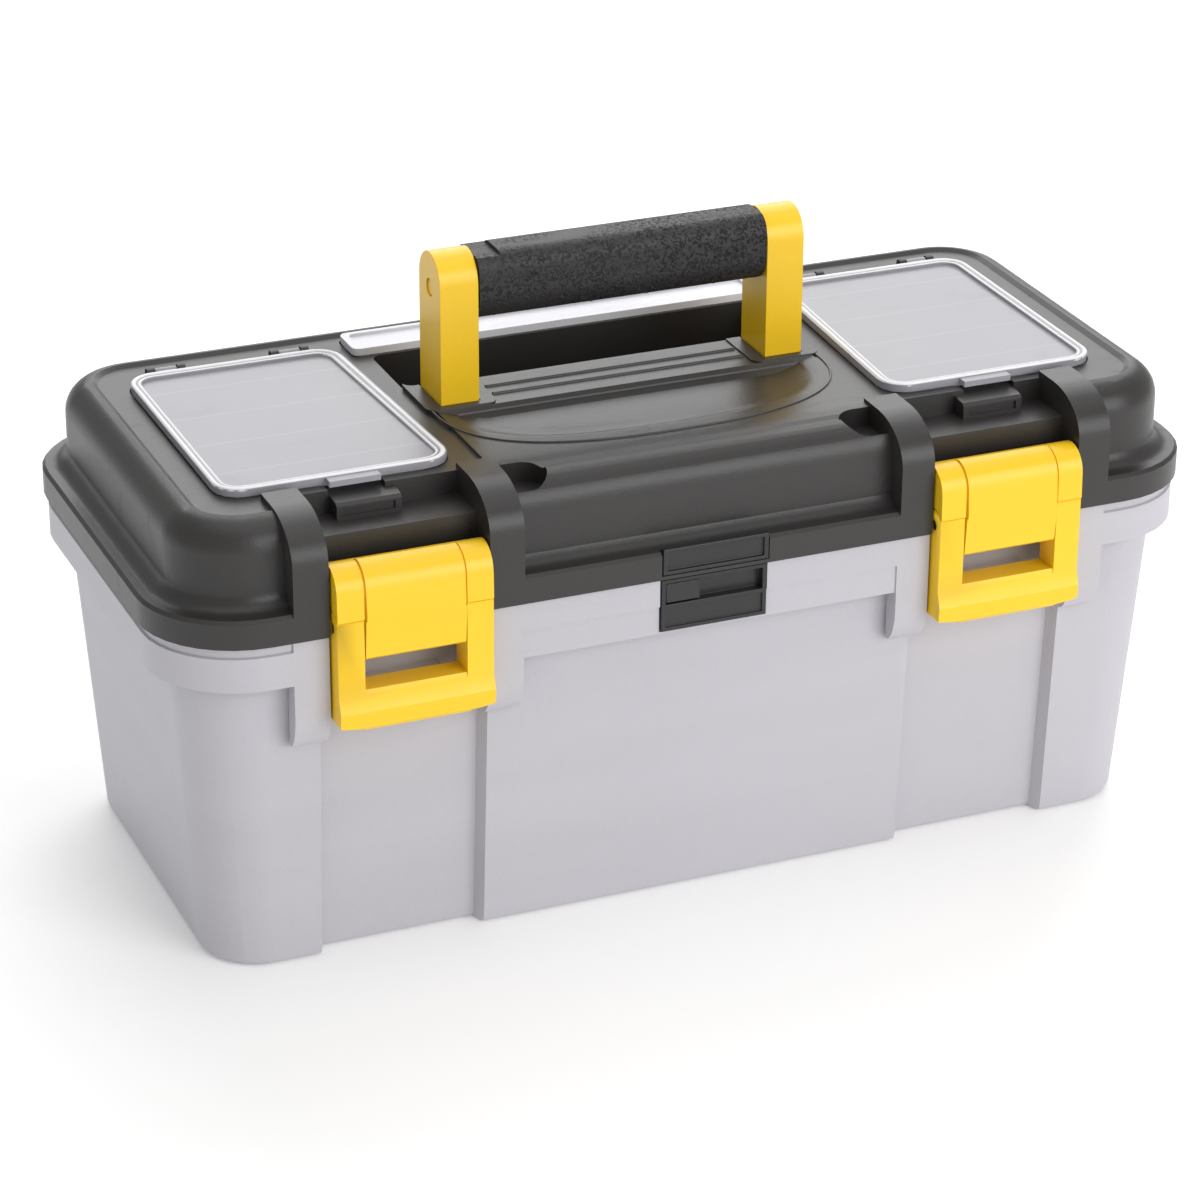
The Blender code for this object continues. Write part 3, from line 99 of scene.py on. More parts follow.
class ToolboxSizes(bpy.types.PropertyGroup):
    tub_edge: length_property("Tub edges", 1.3, "Radius on the edges of the tub")
    lid_edge: length_property("Lid edges", 1.0, "Radius on the edges of the lid")
    latch_edge: length_property("Latch edges", 0.8, "Radius on the edges of the latches")
    post_edge: length_property("Post edges", 1.3, "Radius on the edges of the handle posts")
    small_edge: length_property("Small edges", 0.35, "Radius on the edges of trays, bins and hasps")
    bead_radius: length_property("Cover bead", 1.0, "Radius of the outer bead round each cover")
    line_radius: length_property("Deck lines", 0.5, "Radius of the fine raised lines on the lid's deck")
    deck_rise: length_property("Deck rise", 3.6, "From the handle's pivot up to the deck's middle panel")
    bead_gap: length_property("Bead gap", 3.2, "Distance between a cover's outer and inner beads")
    bead_sink: length_property("Bead sink", 0.9, "Depth of the beads' middle under the top of a cover")
    cover_corner: length_property("Cover corners", 10.0, "Radius of a cover's corners, at its edge")
    cover_lean: length_property("Cover lean", 5.5, "How far a cover's inner side leans out to the rear")
    cover_lug: length_property("Cover lugs", 4.0, "Length of the tab and hinge lugs past a cover's ends")
    well_side: length_property("Well side", 4.5, "From a handle post's outer face to the well's line")
    well_back: length_property("Well back", 3.0, "From the handle posts' front to the well's line")
    well_front: length_property("Well front", 13.5, "From the covers' front to the front of the well's line")
    ridge_end: length_property("Ridge ends", 7.0, "From a handle post to the end of each deck ridge")
    ridge_front: length_property("Front ridge", 6.0, "From the handle's pivot forward to the front ridge")
    ridge_rear: length_property("Rear ridge", 1.5, "From the handle's pivot back to the rear ridge")
    grip_bare: length_property("Bare grip", 3.0, "Depth of the grip's top and middle that carry no pebbles")
    pebble_size: length_property("Grip pebbles", 0.55, "Radius of the raised pebbles on the grip")
    pebble_count: IntProperty(name="Pebble density", description="Pebbles per square metre of grip",
                              default=260000, min=0)


class ToolboxColours(bpy.types.PropertyGroup):
    tub: colour_property("Tub", (186, 184, 190), "Light grey of the tub")
    lid: colour_property("Lid", (46, 44, 43), "Charcoal of the lid")
    latch: colour_property("Latches", (247, 200, 26), "Yellow of the latches and posts")
    grip: colour_property("Grip", (40, 38, 38), "Dark grey of the soft grip")
    hasp: colour_property("Hasps", (34, 34, 36), "Near black of the hasp plates")
    cover: colour_property("Covers", (188, 187, 194), "Milky tint of the frosted covers")
    rim: colour_property("Cover rims", (232, 232, 238), "Paler tint of the beads round the covers")
    bin: colour_property("Bins", (186, 185, 192), "Light grey of the bins")
    floor: colour_property("Floor", (250, 250, 250), "Pale studio floor")


class ToolboxStudio(bpy.types.PropertyGroup):
    camera_place: FloatVectorProperty(name="Camera", description="Where the camera stands", size=3,
                                      subtype="XYZ", unit="LENGTH", default=(-0.54712, -1.28834, 0.73939))
    camera_turn: FloatVectorProperty(name="Turn", description="Camera pitch, roll and yaw", size=3,
                                     subtype="EULER", unit="ROTATION",
                                     default=(radians(25.165), radians(0.343), radians(22.814)))
    lens: FloatProperty(name="Lens", description="Focal length", default=121.88, min=1.0, unit="CAMERA")
    overhead_power: FloatProperty(name="Overhead light", description="Power of the light over the box",
                                  default=8.0, min=0.0, unit="POWER")
    rear_power: FloatProperty(name="Rear light", description="Power of the light that makes the deck shine",
                              default=20.0, min=0.0, unit="POWER")
    front_power: FloatProperty(name="Front light", description="Power of the light from the front right",
                               default=19.0, min=0.0, unit="POWER")
    sky: FloatProperty(name="Surroundings", description="Strength of the even white surroundings",
                       default=0.5, min=0.0)


# ---------------------------------------------------------------- nodes


class Signal:
    """A node's output that takes part in Python arithmetic."""

    def __init__(self, nodes, socket):
        self.nodes, self.socket = nodes, socket

    def maths(self, operation, *values):
        return self.nodes.node("ShaderNodeMath", {"operation": operation}, dict(enumerate(values)))

    def __add__(self, other):
        return self.maths("ADD", self, other)

    def __sub__(self, other):
        return self.maths("SUBTRACT", self, other)

    def __rsub__(self, other):
        return self.maths("SUBTRACT", other, self)

    def __mul__(self, other):
        return self.maths("MULTIPLY", self, other)

    def __truediv__(self, other):
        return self.maths("DIVIDE", self, other)

    def __gt__(self, other):
        return self.maths("GREATER_THAN", self, other)

    __radd__, __rmul__ = __add__, __mul__

    def within(self, low, high):
        """0 under low, 1 over high, and smooth between them."""
        return self.nodes.node("ShaderNodeMapRange", {"interpolation_type": "SMOOTHSTEP"},
                               {"Value": self, "From Min": low, "From Max": high})


class NodeTree:
    """Adds nodes to a tree, with one method for all of them."""

    def __init__(self, tree):
        self.tree = tree

    def node(self, kind, settings=None, sockets=None, output=0):
        made = self.tree.nodes.new(kind)
        for name, value in (settings or {}).items():
            setattr(made, name, value)
        for name, value in (sockets or {}).items():
            self.feed(made.inputs[name], value)
        return Signal(self, made.outputs[output])

    def feed(self, socket, value):
        if isinstance(value, Signal):
            self.tree.links.new(value.socket, socket)
        else:
            socket.default_value = value


class Finish(NodeTree):
    """A material on a Principled shader, with the patterns that moulded parts share."""

    def __init__(self, name, constants):
        self.material = bpy.data.materials.new(name)
        self.material.use_nodes = True
        super().__init__(self.material.node_tree)
        self.shader = self.tree.nodes["Principled BSDF"]
        self.place = self.node("ShaderNodeTexCoord", output="Object")
        self.set(constants)

    def set(self, values, bump=None):
        for name, value in values.items():
            self.feed(self.shader.inputs[name], value)
        if bump:
            self.feed(self.shader.inputs["Normal"], bump)

    def noise(self, scale, detail=2.0, stretch=(1.0, 1.0, 1.0), distortion=0.0):
        where = self.node("ShaderNodeMapping", {}, {"Vector": self.place, "Scale": stretch})
        return self.node("ShaderNodeTexNoise", {},
                         {"Vector": where, "Scale": scale, "Detail": detail, "Distortion": distortion})

    def mix(self, share, first, second):
        """A colour that goes from the first to the second."""
        made = self.tree.nodes.new("ShaderNodeMix")
        made.data_type = "RGBA"
        self.feed(made.inputs["Factor"], share)
        for socket, value in ((made.inputs[6], first), (made.inputs[7], second)):
            self.feed(socket, value if isinstance(value, Signal) else (*value, 1.0))
        return Signal(self, made.outputs[2])

    def edges(self):
        """How sharply the surface turns: over 0 on an outer edge and under 0 in a corner."""
        return self.node("ShaderNodeAttribute", {"attribute_name": "edge"}, output="Fac")

    def bump(self, height, strength, depth):
        return self.node("ShaderNodeBump", {}, {"Height": height, "Strength": strength, "Distance": depth})


def shade(colour, factor):
    """The colour, darker under 1 and lighter over it."""
    return tuple(min(1.0, channel * factor) for channel in colour)


def moulded_plastic(name, colour, roughness, grain, relief, wear_and_highlight, gloss=0.5):
    """Moulded plastic: faint flow streaks, a fine satin grain, outer edges lighter as worn plastic and as a
    painted highlight, and inner corners darker as painted shade.
    """
    finish = Finish(name, {"Specular IOR Level": gloss})
    cloud = finish.noise(7.0, 4.0)
    flow = finish.noise(5.0, 3.0, (1.0, 1.0, 9.0), 0.4)
    fine = finish.noise(grain, 2.0)
    # Outer edges: partly worn plastic, partly a painted highlight along the edges.
    worn_and_highlit_edges = finish.edges().within(0.15, 0.9) * (finish.noise(60.0, 3.0).within(0.3, 0.75) * 0.7 + 0.3)
    # Inner corners: painted shade where the surface folds in.
    painted_corner_shade = (0 - finish.edges()).within(0.2, 1.0)
    tone = (cloud * 0.6 + flow * 0.4).within(0.3, 0.7)
    body = finish.mix(tone, shade(colour, 0.955), shade(colour, 1.04))
    body = finish.mix(fine.within(0.35, 0.7) * 0.35, body, shade(colour, 1.09))
    # Outer edges mixed lighter: worn plastic and a painted highlight.
    body = finish.mix(worn_and_highlit_edges * wear_and_highlight, body, shade(colour, 1.25 + wear_and_highlight))
    # Painted shade in the inner corners.
    body = finish.mix(painted_corner_shade * 0.35, body, shade(colour, 0.72))
    scuffs = finish.noise(34.0, 5.0, (1.0, 3.0, 1.0), 1.2).within(0.56, 0.72)
    sheen = roughness + (cloud - 0.5) * 0.10 + fine * 0.06 + scuffs * 0.05 - worn_and_highlit_edges * 0.06
    finish.set({"Base Color": body, "Roughness": sheen},
               finish.bump(fine * 0.7 + finish.noise(grain * 0.35, 3.0) * 0.5, relief, 0.25 * MM))
    return finish.material


def grip_rubber(name, colour):
    """Soft grip: dull, with a dense irregular stipple that is worn smooth in places, its pits painted near
    black as painted shade and its edges lighter as a painted highlight.
    """
    finish = Finish(name, {"Specular IOR Level": 0.45})
    patch = finish.noise(40.0, 4.0, (0.4, 1.0, 1.0), 0.6).within(0.36, 0.56)
    stipple = finish.noise(760.0, 3.0, (1.0, 1.0, 1.0), 0.8).within(0.5, 0.58) * patch
    fine = finish.noise(2200.0, 2.0)
    # The stipple's pits painted near black: painted shade in the pits.
    body = finish.mix(stipple * 0.9, shade(colour, 1.25), shade(colour, 0.25))
    # Outer edges mixed lighter: a painted highlight along the edges.
    body = finish.mix(finish.edges().within(0.2, 0.9) * 0.4, body, shade(colour, 1.7))
    finish.set({"Base Color": body, "Roughness": 0.5 + stipple * 0.25 + (fine - 0.5) * 0.1},
               finish.bump(fine * 0.4 - stipple * 1.2, 0.5, 0.4 * MM))
    return finish.material


def frosted_plastic(name, colour, clear, rows=0.0):
    """Frosted cover: milky, a little clear, streaked by faint scuffs, paler over the bin's walls, and with a
    painted highlight along its edges.
    """
    finish = Finish(name, {"Transmission Weight": clear, "IOR": 1.45})
    cloud = finish.noise(11.0, 4.0)
    scuffs = finish.noise(28.0, 6.0, (1.0, 4.0, 1.0), 1.6).within(0.55, 0.75)
    body = finish.mix(cloud.within(0.3, 0.7), shade(colour, 0.96), shade(colour, 1.03))
    # Edges mixed paler: a painted highlight along the edges.
    body = finish.mix(finish.edges().within(0.1, 0.8) * 0.6, body, shade(colour, 1.3))
    if rows:
        along = finish.node("ShaderNodeSeparateXYZ", {}, {"Vector": finish.place}, "Y")
        across = (along / rows + 0.5).maths("PINGPONG", along / rows + 0.5, 0.5)
        body = finish.mix((0.035 - across).within(0.0, 0.03) * 0.35, body, shade(colour, 1.35))
    finish.set({"Base Color": body, "Roughness": 0.34 + scuffs * 0.12 + (cloud - 0.5) * 0.08},
               finish.bump(finish.noise(1500.0, 2.0), 0.12, 0.2 * MM))
    return finish.material


def turned_steel(name):
    """Plain steel rod with fine marks along it."""
    finish = Finish(name, {"Metallic": 1.0})
    marks = finish.noise(900.0, 2.0, (0.05, 1.0, 1.0))
    body = finish.mix(marks.within(0.3, 0.7), (0.36, 0.37, 0.38), (0.56, 0.57, 0.58))
    finish.set({"Base Color": body, "Roughness": 0.26 + marks * 0.2}, finish.bump(marks, 0.15, 0.1 * MM))
    return finish.material


def studio_floor(name, colour):
    """A pale matt floor that glows a little, so that its far edge stays white."""
    finish = Finish(name, {"Specular IOR Level": 0.2, "Emission Color": (1.0, 1.0, 1.0, 1.0),
                            "Emission Strength": 0.14})
    cloud = finish.noise(2.0, 3.0)
    body = finish.mix(cloud, shade(colour, 0.985), colour)
    finish.set({"Base Color": body, "Roughness": 0.72 + cloud * 0.08})
    return finish.material


def make_finishes(colours):
    """Every finish by name. Each is made once and shared by the pieces that have it."""
    return {
        "grey": moulded_plastic("satin_grey_plastic", colours.tub, 0.42, 1500.0, 0.10, 0.25),
        "charcoal": moulded_plastic("satin_charcoal_plastic", colours.lid, 0.34, 1300.0, 0.35, 0.6),
        "yellow": moulded_plastic("yellow_plastic", colours.latch, 0.3, 1900.0, 0.06, 0.10),
        "hasp": moulded_plastic("black_plastic", colours.hasp, 0.34, 1600.0, 0.12, 0.5),
        "bin": moulded_plastic("bin_plastic", colours.bin, 0.45, 1600.0, 0.08, 0.2),
        "grip": grip_rubber("soft_grip", colours.grip),
        "cover": frosted_plastic("frosted_plastic", colours.cover, 0.4, 26 * MM),
        "bead": frosted_plastic("frosted_bead", colours.rim, 0.1),
        "steel": turned_steel("turned_steel"),
    }


def finish_of(name):
    """The finish by its name. The first call makes them all."""
    if not bpy.data.materials.get("satin_grey_plastic"):
        for key, made in make_finishes(bpy.context.scene.toolbox_colours).items():
            made["part_finish"] = key
    return next(m for m in bpy.data.materials if m.get("part_finish") == name)


# ---------------------------------------------------------------- meshes


def mesh_object(name, points, faces, edges=()):
    """An object in the scene with the mesh and outward normals."""
    mesh = bpy.data.meshes.new(name)
    mesh.from_pydata([tuple(p) for p in points], list(edges), faces)
    if faces:
        shape = bmesh.new()
        shape.from_mesh(mesh)
        bmesh.ops.recalc_face_normals(shape, faces=shape.faces)
        shape.to_mesh(mesh)
        shape.free()
    obj = bpy.data.objects.new(name, mesh)
    bpy.context.scene.collection.objects.link(obj)
    return obj


def loft(name, rings):
    """Skins a stack of equal rings and caps its ends."""
    count = len(rings[0])
    points = [p for ring in rings for p in ring]
    faces = [tuple(range(count)), tuple(range(len(points) - count, len(points)))]
    for start in range(0, len(points) - count, count):
        for i in range(count):
            j = (i + 1) % count
            faces.append((start + i, start + j, start + count + j, start + count + i))
    return mesh_object(name, points, faces)


def frame_copy(node, name, convex=False):
    """A copy of a frame part as an editable mesh: corners merged, and flat areas made one face.

    With convex, a flat area with notches or a hole is cut into faces without any.
    """
    mesh = frame["nodes"][node].data.copy()
    mesh.name = name
    shape = bmesh.new()
    shape.from_mesh(mesh)
    bmesh.ops.remove_doubles(shape, verts=shape.verts, dist=0.01 * MM)
    bmesh.ops.dissolve_limit(shape, angle_limit=radians(1.0), verts=shape.verts, edges=shape.edges)
    if convex:
        bmesh.ops.connect_verts_concave(shape, faces=shape.faces)
    shape.to_mesh(mesh)
    shape.free()
    mesh.materials.clear()
    obj = bpy.data.objects.new(name, mesh)
    bpy.context.scene.collection.objects.link(obj)
    return obj


def settle(obj):
    """Turns the object with its modifiers into a plain mesh."""
    graph = bpy.context.evaluated_depsgraph_get()
    made = bpy.data.meshes.new_from_object(obj.evaluated_get(graph), depsgraph=graph)
    obj.modifiers.clear()
    obj.data = made
    return obj


def soften(obj, radius, segments=3, turn=25.0):
    """Rounds every edge that turns by more than the angle, and shades the result smooth."""
    bevel = obj.modifiers.new("Edges", "BEVEL")
    bevel.width, bevel.segments = radius, segments
    bevel.limit_method, bevel.angle_limit = "ANGLE", radians(turn)
    bevel.miter_outer = "MITER_ARC"
    obj.data.shade_smooth()
    weight = obj.modifiers.new("Normals", "WEIGHTED_NORMAL")
    weight.weight, weight.keep_sharp = 60, False
    return settle(obj)


def mark_edges(mesh, flat=0.28, sharp=0.78):
    """Writes how sharply the surface turns at each corner, which the finishes read as worn and highlit outer
    edges and as painted shade in inner corners.

    A turn under flat, in radians, counts as none, and one over sharp counts in full.
    """
    shape = bmesh.new()
    shape.from_mesh(mesh)
    layer = shape.verts.layers.float.new("edge")
    for corner in shape.verts:
        turns = [line.calc_face_angle_signed(0.0) for line in corner.link_edges]
        sharpest = max(turns, key=abs, default=0.0)
        size = max(0.0, abs(sharpest) - flat) / (sharp - flat)
        corner[layer] = min(size, 1.0) * (1 if sharpest > 0 else -1)
    shape.to_mesh(mesh)
    shape.free()


def fit_piece(obj, finish, slot, body, *nodes):
    """Gives a finished mesh its material and sends it with its body in place of the frame parts."""
    mark_edges(obj.data)
    obj.data.materials.clear()
    obj.data.materials.append(finish_of(finish))
    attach(obj, body)
    if nodes:
        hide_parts(*nodes)
    return obj


def refit(node, name, radius, finish, slot, body, segments=3, convex=False):
    """The usual piece: a frame part with its edges softened."""
    return fit_piece(soften(frame_copy(node, name, convex), radius, segments), finish, slot, body, node)


def joint_place(name):
    """Where a joint of the record sits."""
    joints = frame["record"]["behaviour"]["joints"]
    return Vector(next(joint["pos_m"] for joint in joints if joint["name"] == name))


def body_holding(node):
    """The body that a frame part belongs to."""
    groups = frame["record"]["behaviour"]["bodies"]
    return next(body for body, nodes in groups.items() if node in nodes)


# ---------------------------------------------------------------- geometry trees


class Pattern(NodeTree):
    """A Geometry Nodes tree with named inputs, which ends in real geometry with a material."""

    def __init__(self, name):
        super().__init__(bpy.data.node_groups.new(name, "GeometryNodeTree"))
        self.sockets, self.values = {}, {}
        self.entry = None
        self.add("Geometry", "NodeSocketGeometry")

    def add(self, name, kind, value=None):
        self.sockets[name] = self.tree.interface.new_socket(name, in_out="INPUT", socket_type=kind)
        if value is not None:
            self.values[name] = value

    def size(self, name, value, kind="NodeSocketFloat"):
        """Adds a named input and gives back its signal."""
        self.add(name, kind, value)
        return self.given(name)

    def given(self, name):
        if self.entry is None:
            self.entry = self.tree.nodes.new("NodeGroupInput")
        return Signal(self, self.entry.outputs[name])

    def end(self, geometry, finish):
        self.tree.interface.new_socket("Geometry", in_out="OUTPUT", socket_type="NodeSocketGeometry")
        real = self.node("GeometryNodeRealizeInstances", {}, {"Geometry": geometry})
        dressed = self.node("GeometryNodeSetMaterial", {}, {"Geometry": real, "Material": finish_of(finish)})
        last = self.tree.nodes.new("NodeGroupOutput")
        self.feed(last.inputs[0], dressed)

    def grow(self, obj):
        """Runs the tree on an object and keeps the result as its plain mesh."""
        modifier = obj.modifiers.new("Pattern", "NODES")
        modifier.node_group = self.tree
        for name, value in self.values.items():
            modifier[self.sockets[name].identifier] = value
        return settle(obj)


def bead_along(name, loop, radius, finish, closed=True):
    """A round bead that follows a line of points."""
    count = len(loop)
    edges = [(i, (i + 1) % count) for i in range(count if closed else count - 1)]
    line = mesh_object(name, loop, [], edges)
    pattern = Pattern(f"{name}_tree")
    size = pattern.size("Radius", radius)
    path = pattern.node("GeometryNodeMeshToCurve", {}, {"Mesh": pattern.given("Geometry")})
    round_line = pattern.node("GeometryNodeCurvePrimitiveCircle", {}, {"Resolution": 10, "Radius": size})
    tube = pattern.node("GeometryNodeCurveToMesh", {},
                        {"Curve": path, "Profile Curve": round_line, "Fill Caps": True})
    soft = pattern.node("GeometryNodeSetShadeSmooth", {}, {"Geometry": tube})
    pattern.end(soft, finish)
    return pattern.grow(line)


def pebbles_on(skin, name, radius, density, finish):
    """Small flat pebbles scattered over a surface, bunched in places and bare in others."""
    pattern = Pattern(f"{name}_tree")
    size, thick = pattern.size("Radius", radius), pattern.size("Density", float(density))
    patch = pattern.node("ShaderNodeTexNoise", {}, {"Scale": 55.0, "Detail": 3.0}).within(0.46, 0.6)
    points = pattern.node("GeometryNodeDistributePointsOnFaces", {},
                          {"Mesh": pattern.given("Geometry"), "Density": thick * patch, "Seed": 7})
    turn = pattern.tree.nodes[-1].outputs["Rotation"]
    pebble = pattern.node("GeometryNodeMeshIcoSphere", {}, {"Radius": size, "Subdivisions": 2})
    flat = pattern.node("GeometryNodeTransform", {}, {"Geometry": pebble, "Scale": (1.0, 1.0, 0.45)})
    spread = pattern.node("FunctionNodeRandomValue", {"data_type": "FLOAT"},
                          {"Min": 0.55, "Max": 1.25, "Seed": 3}, 1)
    placed = pattern.node("GeometryNodeInstanceOnPoints", {},
                          {"Points": points, "Instance": flat, "Rotation": Signal(pattern, turn),
                           "Scale": spread})
    soft = pattern.node("GeometryNodeSetShadeSmooth", {}, {"Geometry": placed})
    pattern.end(soft, finish)
    return pattern.grow(skin)


# ---------------------------------------------------------------- pieces


def rounded_loop(x, y, radius, steps=8):
    """A rounded rectangle as (x, y) points."""
    loop = []
    corners = ((x[1], y[1], 0), (x[0], y[1], 90), (x[0], y[0], 180), (x[1], y[0], 270))
    for centre_x, centre_y, start in corners:
        inset_x = centre_x - radius if start in (0, 270) else centre_x + radius
        inset_y = centre_y - radius if start in (0, 90) else centre_y + radius
        for step in range(steps + 1):
            turn = radians(start + 90 * step / steps)
            loop.append((inset_x + radius * cos(turn), inset_y + radius * sin(turn)))
    return loop


def leaning_loop(low, high, side, inset, radius, lean, steps=8):
    """A side cover's outline: square on three sides, with an inner side that leans out to the rear."""
    inner, outer = (low.x, high.x) if side > 0 else (high.x, low.x)
    way = 1 if side > 0 else -1
    front, back = low.y + inset, high.y - inset
    corners = [(inner + way * inset, front), (outer - way * inset, front)]
    corners += [(outer - way * inset, back), (inner + way * (inset + lean), back)]
    loop = []
    for i, corner in enumerate(corners):
        here = Vector(corner)
        before = (Vector(corners[i - 1]) - here).normalized()
        after = (Vector(corners[(i + 1) % 4]) - here).normalized()
        half = before.angle(after) / 2
        centre = here + (before + after).normalized() * radius / sin(half)
        reach = radius * cos(half) / sin(half)
        first, last = here + before * reach - centre, here + after * reach - centre
        for step in range(steps + 1):
            loop.append(tuple(centre + first.slerp(last, step / steps).normalized() * radius))
    return loop


def make_tub_pieces(sizes):
    """The tub and the padlock plate in its band."""
    refit("tub", "tub_shell", sizes.tub_edge, "grey", "grey_plastic", "base")
    refit("tub_hasp", "tub_lock_plate", sizes.small_edge, "hasp", "charcoal_plastic", "base", convex=True)


def well_brim(half_x, back, depth, level, side_bow=0.8, front_bow=0.75, steps=40):
    """The line round the finger well: straight behind and bowed in front. A bow of 1 is a plain oval's,
    and less is fuller."""
    brim = []
    for i in range(steps + 1):
        turn = pi * i / steps
        x = half_x * (1 if cos(turn) > 0 else -1) * abs(cos(turn)) ** side_bow
        brim.append((x, back - depth * abs(sin(turn)) ** front_bow, level))
    return brim


def make_lid_pieces(sizes):
    """The lid with the fine raised lines round its finger well and behind it."""
    refit("lid", "lid_shell", sizes.lid_edge, "charcoal", "charcoal_plastic", "lid")
    pivot = joint_place("handle_fold")
    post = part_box("handle_post_right")
    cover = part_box("organiser_cover_right")
    level = pivot.z + sizes.deck_rise
    depth = (cover[1].y - cover[0].y) / 2 - sizes.well_front
    brim = well_brim(post[1].x + sizes.well_side, post[0].y - sizes.well_back, depth, level)
    line = bead_along("finger_well_line", brim, sizes.line_radius, "charcoal", closed=False)
    fit_piece(line, "charcoal", "charcoal_plastic", "lid")
    ridge_radius = sizes.line_radius * 1.6
    for label, y in (("front", pivot.y - sizes.ridge_front), ("rear", pivot.y + sizes.ridge_rear)):
        ends = [(way * (post[0].x - sizes.ridge_end), y, level) for way in (-1, 1)]
        ridge = bead_along(f"deck_ridge_{label}", ends, ridge_radius, "charcoal", closed=False)
        fit_piece(ridge, "charcoal", "charcoal_plastic", "lid")
    refit("lid_hasp", "lid_lock_plate", sizes.small_edge, "hasp", "charcoal_plastic", "lid")


def make_bin_pieces(sizes):
    """The bins that hang under the covers."""
    for node in ("organiser_bin_left", "organiser_bin_right", "rear_bin"):
        refit(node, f"{node}_body", sizes.small_edge, "bin", "bin_plastic", "lid", 2)


def make_cover_pieces(sizes):
    """The covers, each with a pale outer bead, a thinner inner bead and a sunk panel."""
    for name, side in SIDES:
        node = f"organiser_cover_{name}"
        body = body_holding(node)
        refit(node, f"{node}_panel", sizes.small_edge, "cover", "frosted_plastic", body, 2)
        low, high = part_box(node)
        low, high = low.copy(), high.copy()
        low.y, high.y = low.y + sizes.cover_lug, high.y - sizes.cover_lug
        top = high.z - sizes.bead_sink
        for label, inset, radius in (("outer", sizes.bead_radius, sizes.bead_radius),
                                     ("inner", sizes.bead_gap, sizes.bead_radius * 0.6)):
            flat = leaning_loop(low, high, side, inset, sizes.cover_corner - inset, sizes.cover_lean)
            loop = [(x, y, top) for x, y in flat]
            bead = bead_along(f"cover_bead_{label}_{name}", loop, radius, "bead")
            fit_piece(bead, "bead", "frosted_plastic", body)
    refit("rear_cover", "rear_cover_panel", sizes.small_edge, "bead", "frosted_plastic", "cover_rear", 2)


def make_latch_pieces(sizes):
    """Both halves of each latch."""
    for name, _ in SIDES:
        for part in ("latch_link", "latch_lever"):
            node = f"{part}_{name}"
            refit(node, f"{node}_moulding", sizes.latch_edge, "yellow", "yellow_plastic", body_holding(node))


def make_handle_pieces(sizes):
    """The posts, the grip's sleeve, and pebbles over the front of the sleeve."""
    for name, _ in SIDES:
        refit(f"handle_post_{name}", f"handle_post_{name}_moulding", sizes.post_edge, "yellow",
              "yellow_plastic", "handle", 4)
    refit("handle_grip", "handle_grip_sleeve", sizes.lid_edge, "grip", "soft_grip", "handle")
    skin = frame_copy("handle_grip", "grip_front")
    low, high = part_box("handle_grip")
    rear_limit, top_limit = (low.y + high.y) / 2 - sizes.grip_bare, high.z - sizes.grip_bare
    shape = bmesh.new()
    shape.from_mesh(skin.data)
    unwanted = [f for f in shape.faces if f.calc_center_median().y > rear_limit
                or f.calc_center_median().z > top_limit or abs(f.normal.x) > 0.5]
    bmesh.ops.delete(shape, geom=unwanted, context="FACES")
    shape.to_mesh(skin.data)
    shape.free()
    pebbles = pebbles_on(skin, "grip_pebbles", sizes.pebble_size, sizes.pebble_count, "grip")
    fit_piece(pebbles, "grip", "soft_grip", "handle")


def make_tray_pieces(sizes):
    """The tray and its four dividers."""
    refit("tray", "tray_body", sizes.small_edge * 1.6, "charcoal", "charcoal_plastic", "tray")
    for row in ("front", "rear"):
        for name, _ in SIDES:
            node = f"tray_divider_{row}_{name}"
            refit(node, f"{node}_plate", sizes.small_edge, "bin", "bin_plastic", "tray", 2)


def dress_frame_parts():
    """The pins, screws and the grip's core keep their shape and take a finish."""
    for node, obj in frame["nodes"].items():
        if obj.hide_render:
            continue
        kind = "steel" if "pin" in node else "yellow" if "screw" in node else "charcoal"
        for slot in obj.material_slots:
            slot.material = finish_of(kind)


def build_studio(studio, colours):
    """The floor, the lights, the surroundings and the camera."""
    scene = bpy.context.scene
    reach = (-FLOOR_REACH, FLOOR_REACH)
    outline = rounded_loop(reach, reach, FLOOR_CORNER)
    floor = loft("studio_floor", [[(x, y, z) for x, y in outline] for z in (FLOOR_BOTTOM, FLOOR_TOP)])
    floor.data.materials.append(studio_floor("pale_floor", colours.floor))
    for name, (size, place) in LIGHT_PLACES.items():
        lamp = bpy.data.lights.new(f"{name}_light", "AREA")
        lamp.energy, lamp.size = getattr(studio, f"{name}_power"), size
        obj = bpy.data.objects.new(f"{name}_light", lamp)
        obj.location = place
        aim = Vector(LIGHT_AIM) - Vector(place)
        obj.rotation_euler = aim.to_track_quat("-Z", "Y").to_euler()
        scene.collection.objects.link(obj)
    world = bpy.data.worlds.new("studio_surroundings")
    world.use_nodes = True
    background = world.node_tree.nodes["Background"]
    background.inputs["Color"].default_value = (1.0, 1.0, 1.0, 1.0)
    background.inputs["Strength"].default_value = studio.sky
    scene.world = world
    scene.view_settings.view_transform = "Standard"
    camera = bpy.data.cameras.new("studio_camera")
    camera.lens, camera.sensor_width = studio.lens, SENSOR_WIDTH
    camera.clip_start = 0.05
    obj = bpy.data.objects.new("studio_camera", camera)
    scene.collection.objects.link(obj)
    pitch, roll, yaw = studio.camera_turn
    ahead = Vector((sin(yaw) * cos(pitch), cos(yaw) * cos(pitch), -sin(pitch)))
    level = Vector((cos(yaw), -sin(yaw), 0.0))
    upright = level.cross(ahead)
    right, up = cos(roll) * level + sin(roll) * upright, cos(roll) * upright - sin(roll) * level
    turn = Matrix((right, up, -ahead)).transposed().to_4x4()
    obj.matrix_world = Matrix.Translation(Vector(studio.camera_place)) @ turn
    scene.camera = obj


# ---------------------------------------------------------------- operators


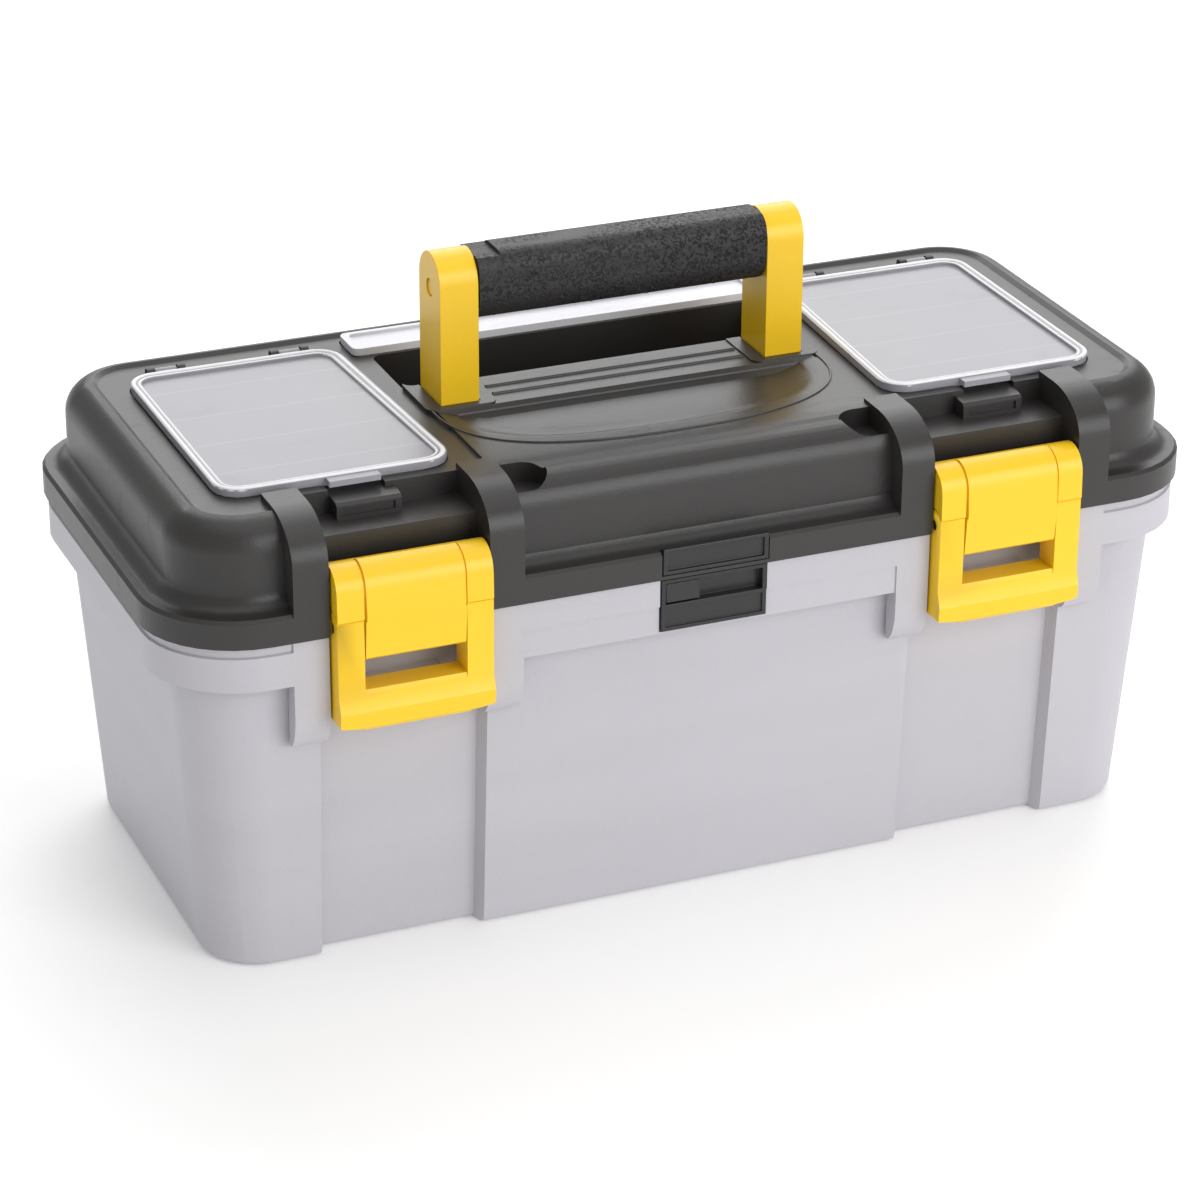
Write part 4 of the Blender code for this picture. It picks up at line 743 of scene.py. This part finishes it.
class TOOLBOX_OT_tub(bpy.types.Operator):
    """Finish the tub and its hasp plate"""

    bl_idname = "toolbox.tub"
    bl_label = "Tub"

    def execute(self, context):
        make_tub_pieces(context.scene.toolbox_sizes)
        return {"FINISHED"}


class TOOLBOX_OT_lid(bpy.types.Operator):
    """Finish the lid and its hasp plate"""

    bl_idname = "toolbox.lid"
    bl_label = "Lid"

    def execute(self, context):
        make_lid_pieces(context.scene.toolbox_sizes)
        return {"FINISHED"}


class TOOLBOX_OT_bins(bpy.types.Operator):
    """Finish the bins that hang in the lid"""

    bl_idname = "toolbox.bins"
    bl_label = "Bins"

    def execute(self, context):
        make_bin_pieces(context.scene.toolbox_sizes)
        return {"FINISHED"}


class TOOLBOX_OT_covers(bpy.types.Operator):
    """Finish the frosted covers and their beads"""

    bl_idname = "toolbox.covers"
    bl_label = "Covers"

    def execute(self, context):
        make_cover_pieces(context.scene.toolbox_sizes)
        return {"FINISHED"}


class TOOLBOX_OT_latches(bpy.types.Operator):
    """Finish the draw latches"""

    bl_idname = "toolbox.latches"
    bl_label = "Latches"

    def execute(self, context):
        make_latch_pieces(context.scene.toolbox_sizes)
        return {"FINISHED"}


class TOOLBOX_OT_handle(bpy.types.Operator):
    """Finish the carry handle and its pebbled grip"""

    bl_idname = "toolbox.handle"
    bl_label = "Handle"

    def execute(self, context):
        make_handle_pieces(context.scene.toolbox_sizes)
        return {"FINISHED"}


class TOOLBOX_OT_tray(bpy.types.Operator):
    """Finish the tray and its dividers"""

    bl_idname = "toolbox.tray"
    bl_label = "Tray"

    def execute(self, context):
        make_tray_pieces(context.scene.toolbox_sizes)
        return {"FINISHED"}


class TOOLBOX_OT_hardware(bpy.types.Operator):
    """Give the pins, screws and core their finish"""

    bl_idname = "toolbox.hardware"
    bl_label = "Pins and screws"

    def execute(self, context):
        dress_frame_parts()
        return {"FINISHED"}


class TOOLBOX_OT_studio(bpy.types.Operator):
    """Set up the floor, the lights and the camera"""

    bl_idname = "toolbox.studio"
    bl_label = "Studio"

    def execute(self, context):
        build_studio(context.scene.toolbox_studio, context.scene.toolbox_colours)
        return {"FINISHED"}


OPERATORS = (TOOLBOX_OT_tub, TOOLBOX_OT_lid, TOOLBOX_OT_bins, TOOLBOX_OT_covers, TOOLBOX_OT_latches,
             TOOLBOX_OT_handle, TOOLBOX_OT_tray, TOOLBOX_OT_hardware, TOOLBOX_OT_studio)


class TOOLBOX_PT_panel(bpy.types.Panel):
    """Lists the toolbox's pieces in the order they are made"""

    bl_idname = "TOOLBOX_PT_panel"
    bl_label = "Toolbox"
    bl_space_type = "VIEW_3D"
    bl_region_type = "UI"
    bl_category = "Toolbox"

    def draw(self, context):
        for group in ("toolbox_sizes", "toolbox_colours", "toolbox_studio"):
            settings = getattr(context.scene, group)
            for name in settings.__annotations__:
                self.layout.prop(settings, name)
        for operator in OPERATORS:
            self.layout.operator(operator.bl_idname)


CLASSES = (ToolboxSizes, ToolboxColours, ToolboxStudio, *OPERATORS, TOOLBOX_PT_panel)
GROUPS = {"toolbox_sizes": ToolboxSizes, "toolbox_colours": ToolboxColours, "toolbox_studio": ToolboxStudio}


def register():
    for kind in CLASSES:
        bpy.utils.register_class(kind)
    for name, kind in GROUPS.items():
        setattr(bpy.types.Scene, name, PointerProperty(type=kind))


def unregister():
    for name in GROUPS:
        delattr(bpy.types.Scene, name)
    for kind in reversed(CLASSES):
        bpy.utils.unregister_class(kind)


def main():
    register()
    for operator in OPERATORS:
        group, name = operator.bl_idname.split(".")
        getattr(getattr(bpy.ops, group), name)()


if __name__ == "__main__":
    main()
